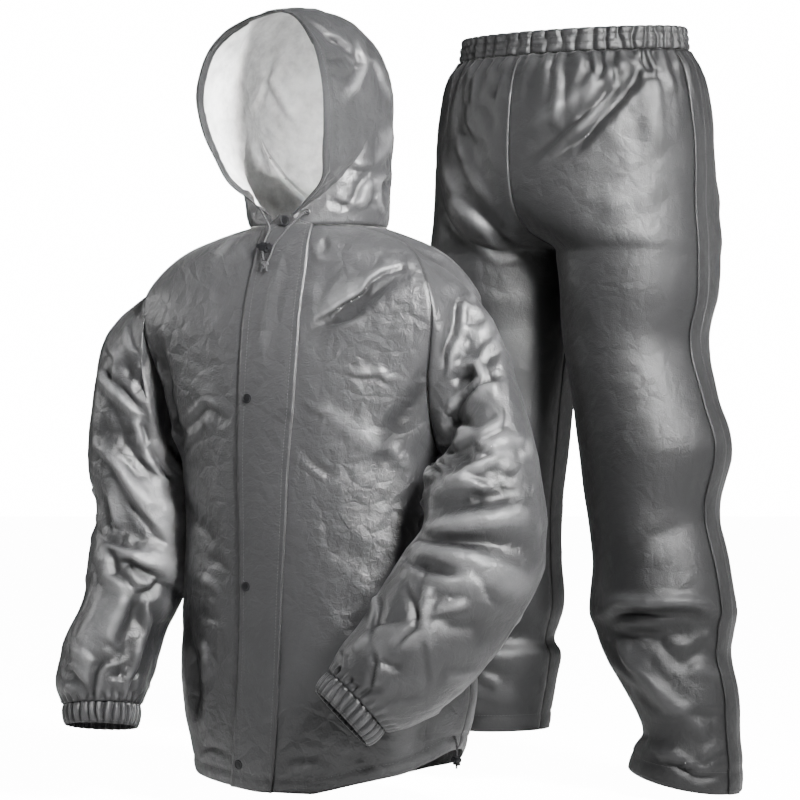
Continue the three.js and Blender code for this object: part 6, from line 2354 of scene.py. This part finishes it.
TROUSER_LEFT_CREASES = creases(
    (HIP_VIEW, -6.5, 5.5, -0.9, 1110, 250, 1050, 340, 960, 440, 850, 560, 740, 660, 630, 745),
    (HIP_VIEW, -3.8, 3.6, 0.5, 1085, 215, 1110, 255, 1160, 300),
    (HIP_VIEW, -1.8, 3.2, 0, 1090, 330, 1180, 315),
    (HIP_VIEW, -3.4, 3.6, -0.6, 905, 240, 860, 310, 850, 370),
    (HIP_VIEW, -2.8, 3.2, 0, 810, 240, 840, 290, 850, 320),
    (HIP_VIEW, 2.8, 4, 0.6, 925, 250, 930, 330, 960, 420),
    (HIP_VIEW, 1.8, 3.2, 0, 985, 240, 1000, 310),
    (HIP_VIEW, 3.4, 4.2, 0.5, 680, 260, 690, 330, 675, 430, 680, 560, 710, 600),
    (HIP_VIEW, 2.8, 4, 0, 860, 370, 800, 460, 750, 540, 700, 610),
    (HIP_VIEW, 2.8, 4.6, 0.4, 890, 380, 840, 480, 740, 600),
    (HIP_VIEW, -2.3, 3.2, 0, 610, 290, 650, 280, 680, 260),
    (HIP_VIEW, 2.3, 4, 0, 1200, 240, 1230, 330, 1240, 420),
    (HIP_VIEW, -3.2, 12, 0, 1040, 420, 1060, 560, 1040, 720),
    (HIP_VIEW, 2.8, 12, 0, 1130, 330, 1150, 500, 1170, 650),
    (HIP_VIEW, -2.3, 4, 0.5, 1280, 230, 1330, 400, 1360, 560, 1430, 640),
    (HIP_VIEW, -3.2, 5, 0, 1300, 200, 1350, 260),
    (HIP_VIEW, 3.4, 3.8, -0.8, 1370, 640, 1400, 670, 1440, 650),
    (HIP_VIEW, 2.3, 5, 0, 1390, 930, 1430, 1030, 1450, 1150),
    (HIP_VIEW, 1.8, 16, 0, 830, 1000, 960, 960, 1100, 880, 1220, 780),
    (SHIN_VIEW, 6.5, 6.5, -1, 230, 350, 400, 300, 700, 290, 950, 310, 1050, 360),
    (SHIN_VIEW, -8, 9, 0, 250, 390, 500, 370, 800, 400, 1000, 430, 1120, 500),
    (SHIN_VIEW, 5.4, 6.5, -0.8, 330, 460, 400, 580, 480, 690, 560, 780, 640, 870, 700, 960),
    (SHIN_VIEW, -3.8, 9, 0, 480, 500, 650, 560, 780, 660, 830, 680, 900, 620, 1000, 530),
    (SHIN_VIEW, -2.5, 6, 0.5, 700, 1040, 850, 1010, 1090, 1000),
    (SHIN_VIEW, 2.8, 5, 0.5, 1090, 1180, 980, 1240, 910, 1310),
    (SHIN_VIEW, 4.4, 4.4, -1, 600, 1180, 680, 1280, 900, 1370, 1080, 1375),
    (SHIN_VIEW, -5.5, 4.4, 0, 690, 1315, 800, 1355, 900, 1405, 1080, 1412),
    (SHIN_VIEW, 2.3, 4, 0, 560, 1180, 600, 1230, 640, 1250),
    (SHIN_VIEW, 2.4, 9, 0, 800, 700, 950, 730, 1080, 790),
)
TROUSER_RIGHT_CREASES = creases(
    (HIP_VIEW, -5.5, 7, -0.9, 115, 870, 200, 920, 290, 1020, 400, 1120, 490, 1170),
    (HIP_VIEW, 4.6, 6, 0, 130, 890, 180, 1000, 260, 1120, 340, 1200, 410, 1240),
    (HIP_VIEW, -3.4, 8, -0.6, 200, 560, 260, 700, 310, 850, 370, 1000),
    (HIP_VIEW, 2.8, 6, 0, 190, 600, 230, 720, 290, 850, 340, 960),
    (HIP_VIEW, -3.8, 3.2, 0.5, 385, 290, 375, 400, 375, 450),
    (HIP_VIEW, 2.8, 4, 0, 325, 290, 365, 350, 370, 400),
    (HIP_VIEW, -2.3, 4, 0.5, 200, 430, 205, 520, 240, 640),
    (HIP_VIEW, 2.3, 4, 0, 265, 240, 265, 350, 260, 460),
    (HIP_VIEW, -1.8, 6, 0, 300, 400, 340, 500, 380, 620),
    (HIP_VIEW, 2.3, 3.6, 0.5, 545, 290, 545, 400, 555, 560),
    (HIP_VIEW, -3.2, 7, 0.4, 600, 330, 640, 400, 650, 560, 600, 740),
    (HIP_VIEW, 2.3, 5, 0, 480, 280, 520, 320),
    (HIP_VIEW, 2, 9, 0, 440, 410, 430, 450),
    (HIP_VIEW, 2.3, 4, 0, 405, 1225, 450, 1220, 490, 1215),
    (LOWER_RIGHT, 3.2, 5, 0, 1110, 600, 1200, 640, 1260, 690),
    (LOWER_RIGHT, -3.4, 6, 0, 1080, 660, 1160, 690, 1230, 700),
    (LOWER_RIGHT, 2.8, 5, 0, 1450, 620, 1530, 720),
    (LOWER_RIGHT, 1.8, 4, 0, 1100, 790, 1170, 800),
    (HIP_VIEW, -2, 5, 0.5, 170, 690, 230, 740, 270, 760),
    (HIP_VIEW, 1.8, 4, 0, 215, 520, 260, 590, 280, 660),
)

FRONT_LEFT = Drape(FRONT_LEFT_CREASES, depth=2.0, crumples=((85.0, 2.4), (34.0, 1.1), (14.0, 0.5)))
FRONT_RIGHT = Drape(FRONT_RIGHT_CREASES, depth=1.9, crumples=((85.0, 2.2), (38.0, 0.8), (16.0, 0.3)))
JACKET_BACK = Drape(
    behind=turned_over(FRONT_LEFT_CREASES, 60.0, 14.0),
    crumples=((90.0, 2.2), (42.0, 0.9)),
)
SLEEVE_RIGHT = Drape(
    SLEEVE_RIGHT_CREASES,
    behind=turned_over(SLEEVE_RIGHT_CREASES, -268.0, 20.0),
    swells=(
        (-190.0, 57.0, -330.0, 60.0, 5.0),
        (-190.0, 57.0, -410.0, 70.0, 9.0),
        (-196.0, 50.0, -480.0, 50.0, 5.0),
    ),
    crumples=((75.0, 2.6), (30.0, 0.7), (13.0, 0.25)),
)
SLEEVE_LEFT = Drape(
    SLEEVE_LEFT_CREASES,
    behind=turned_over(SLEEVE_LEFT_CREASES, 175.0, 24.0),
    swells=((164.0, -150.0, -315.0, 40.0, 3.0),),
    crumples=((78.0, 2.8), (32.0, 0.8), (13.0, 0.25)),
)
HOOD = Drape(
    HOOD_CREASES,
    inside=HOOD_INSIDE_CREASES,
    behind=turned_over(HOOD_CREASES, 0.0, 20.0),
    depth=2.0,
    crumples=((60.0, 2.0), (24.0, 1.4), (11.0, 0.6)),
)
FLAP = Drape(FLAP_CREASES, depth=1.2, crumples=((80.0, 0.6),))
TROUSER_LEFT = Drape(TROUSER_LEFT_CREASES, crumples=((90.0, 2.0), (30.0, 0.6)))
TROUSER_RIGHT = Drape(TROUSER_RIGHT_CREASES, crumples=((90.0, 2.2), (32.0, 0.7)))
TROUSER_BACK = Drape(
    behind=turned_over(TROUSER_LEFT_CREASES, 370.0, 12.0),
    crumples=((90.0, 2.0), (36.0, 0.7)),
)


if __name__ == "__main__":
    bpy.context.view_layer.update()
    main()
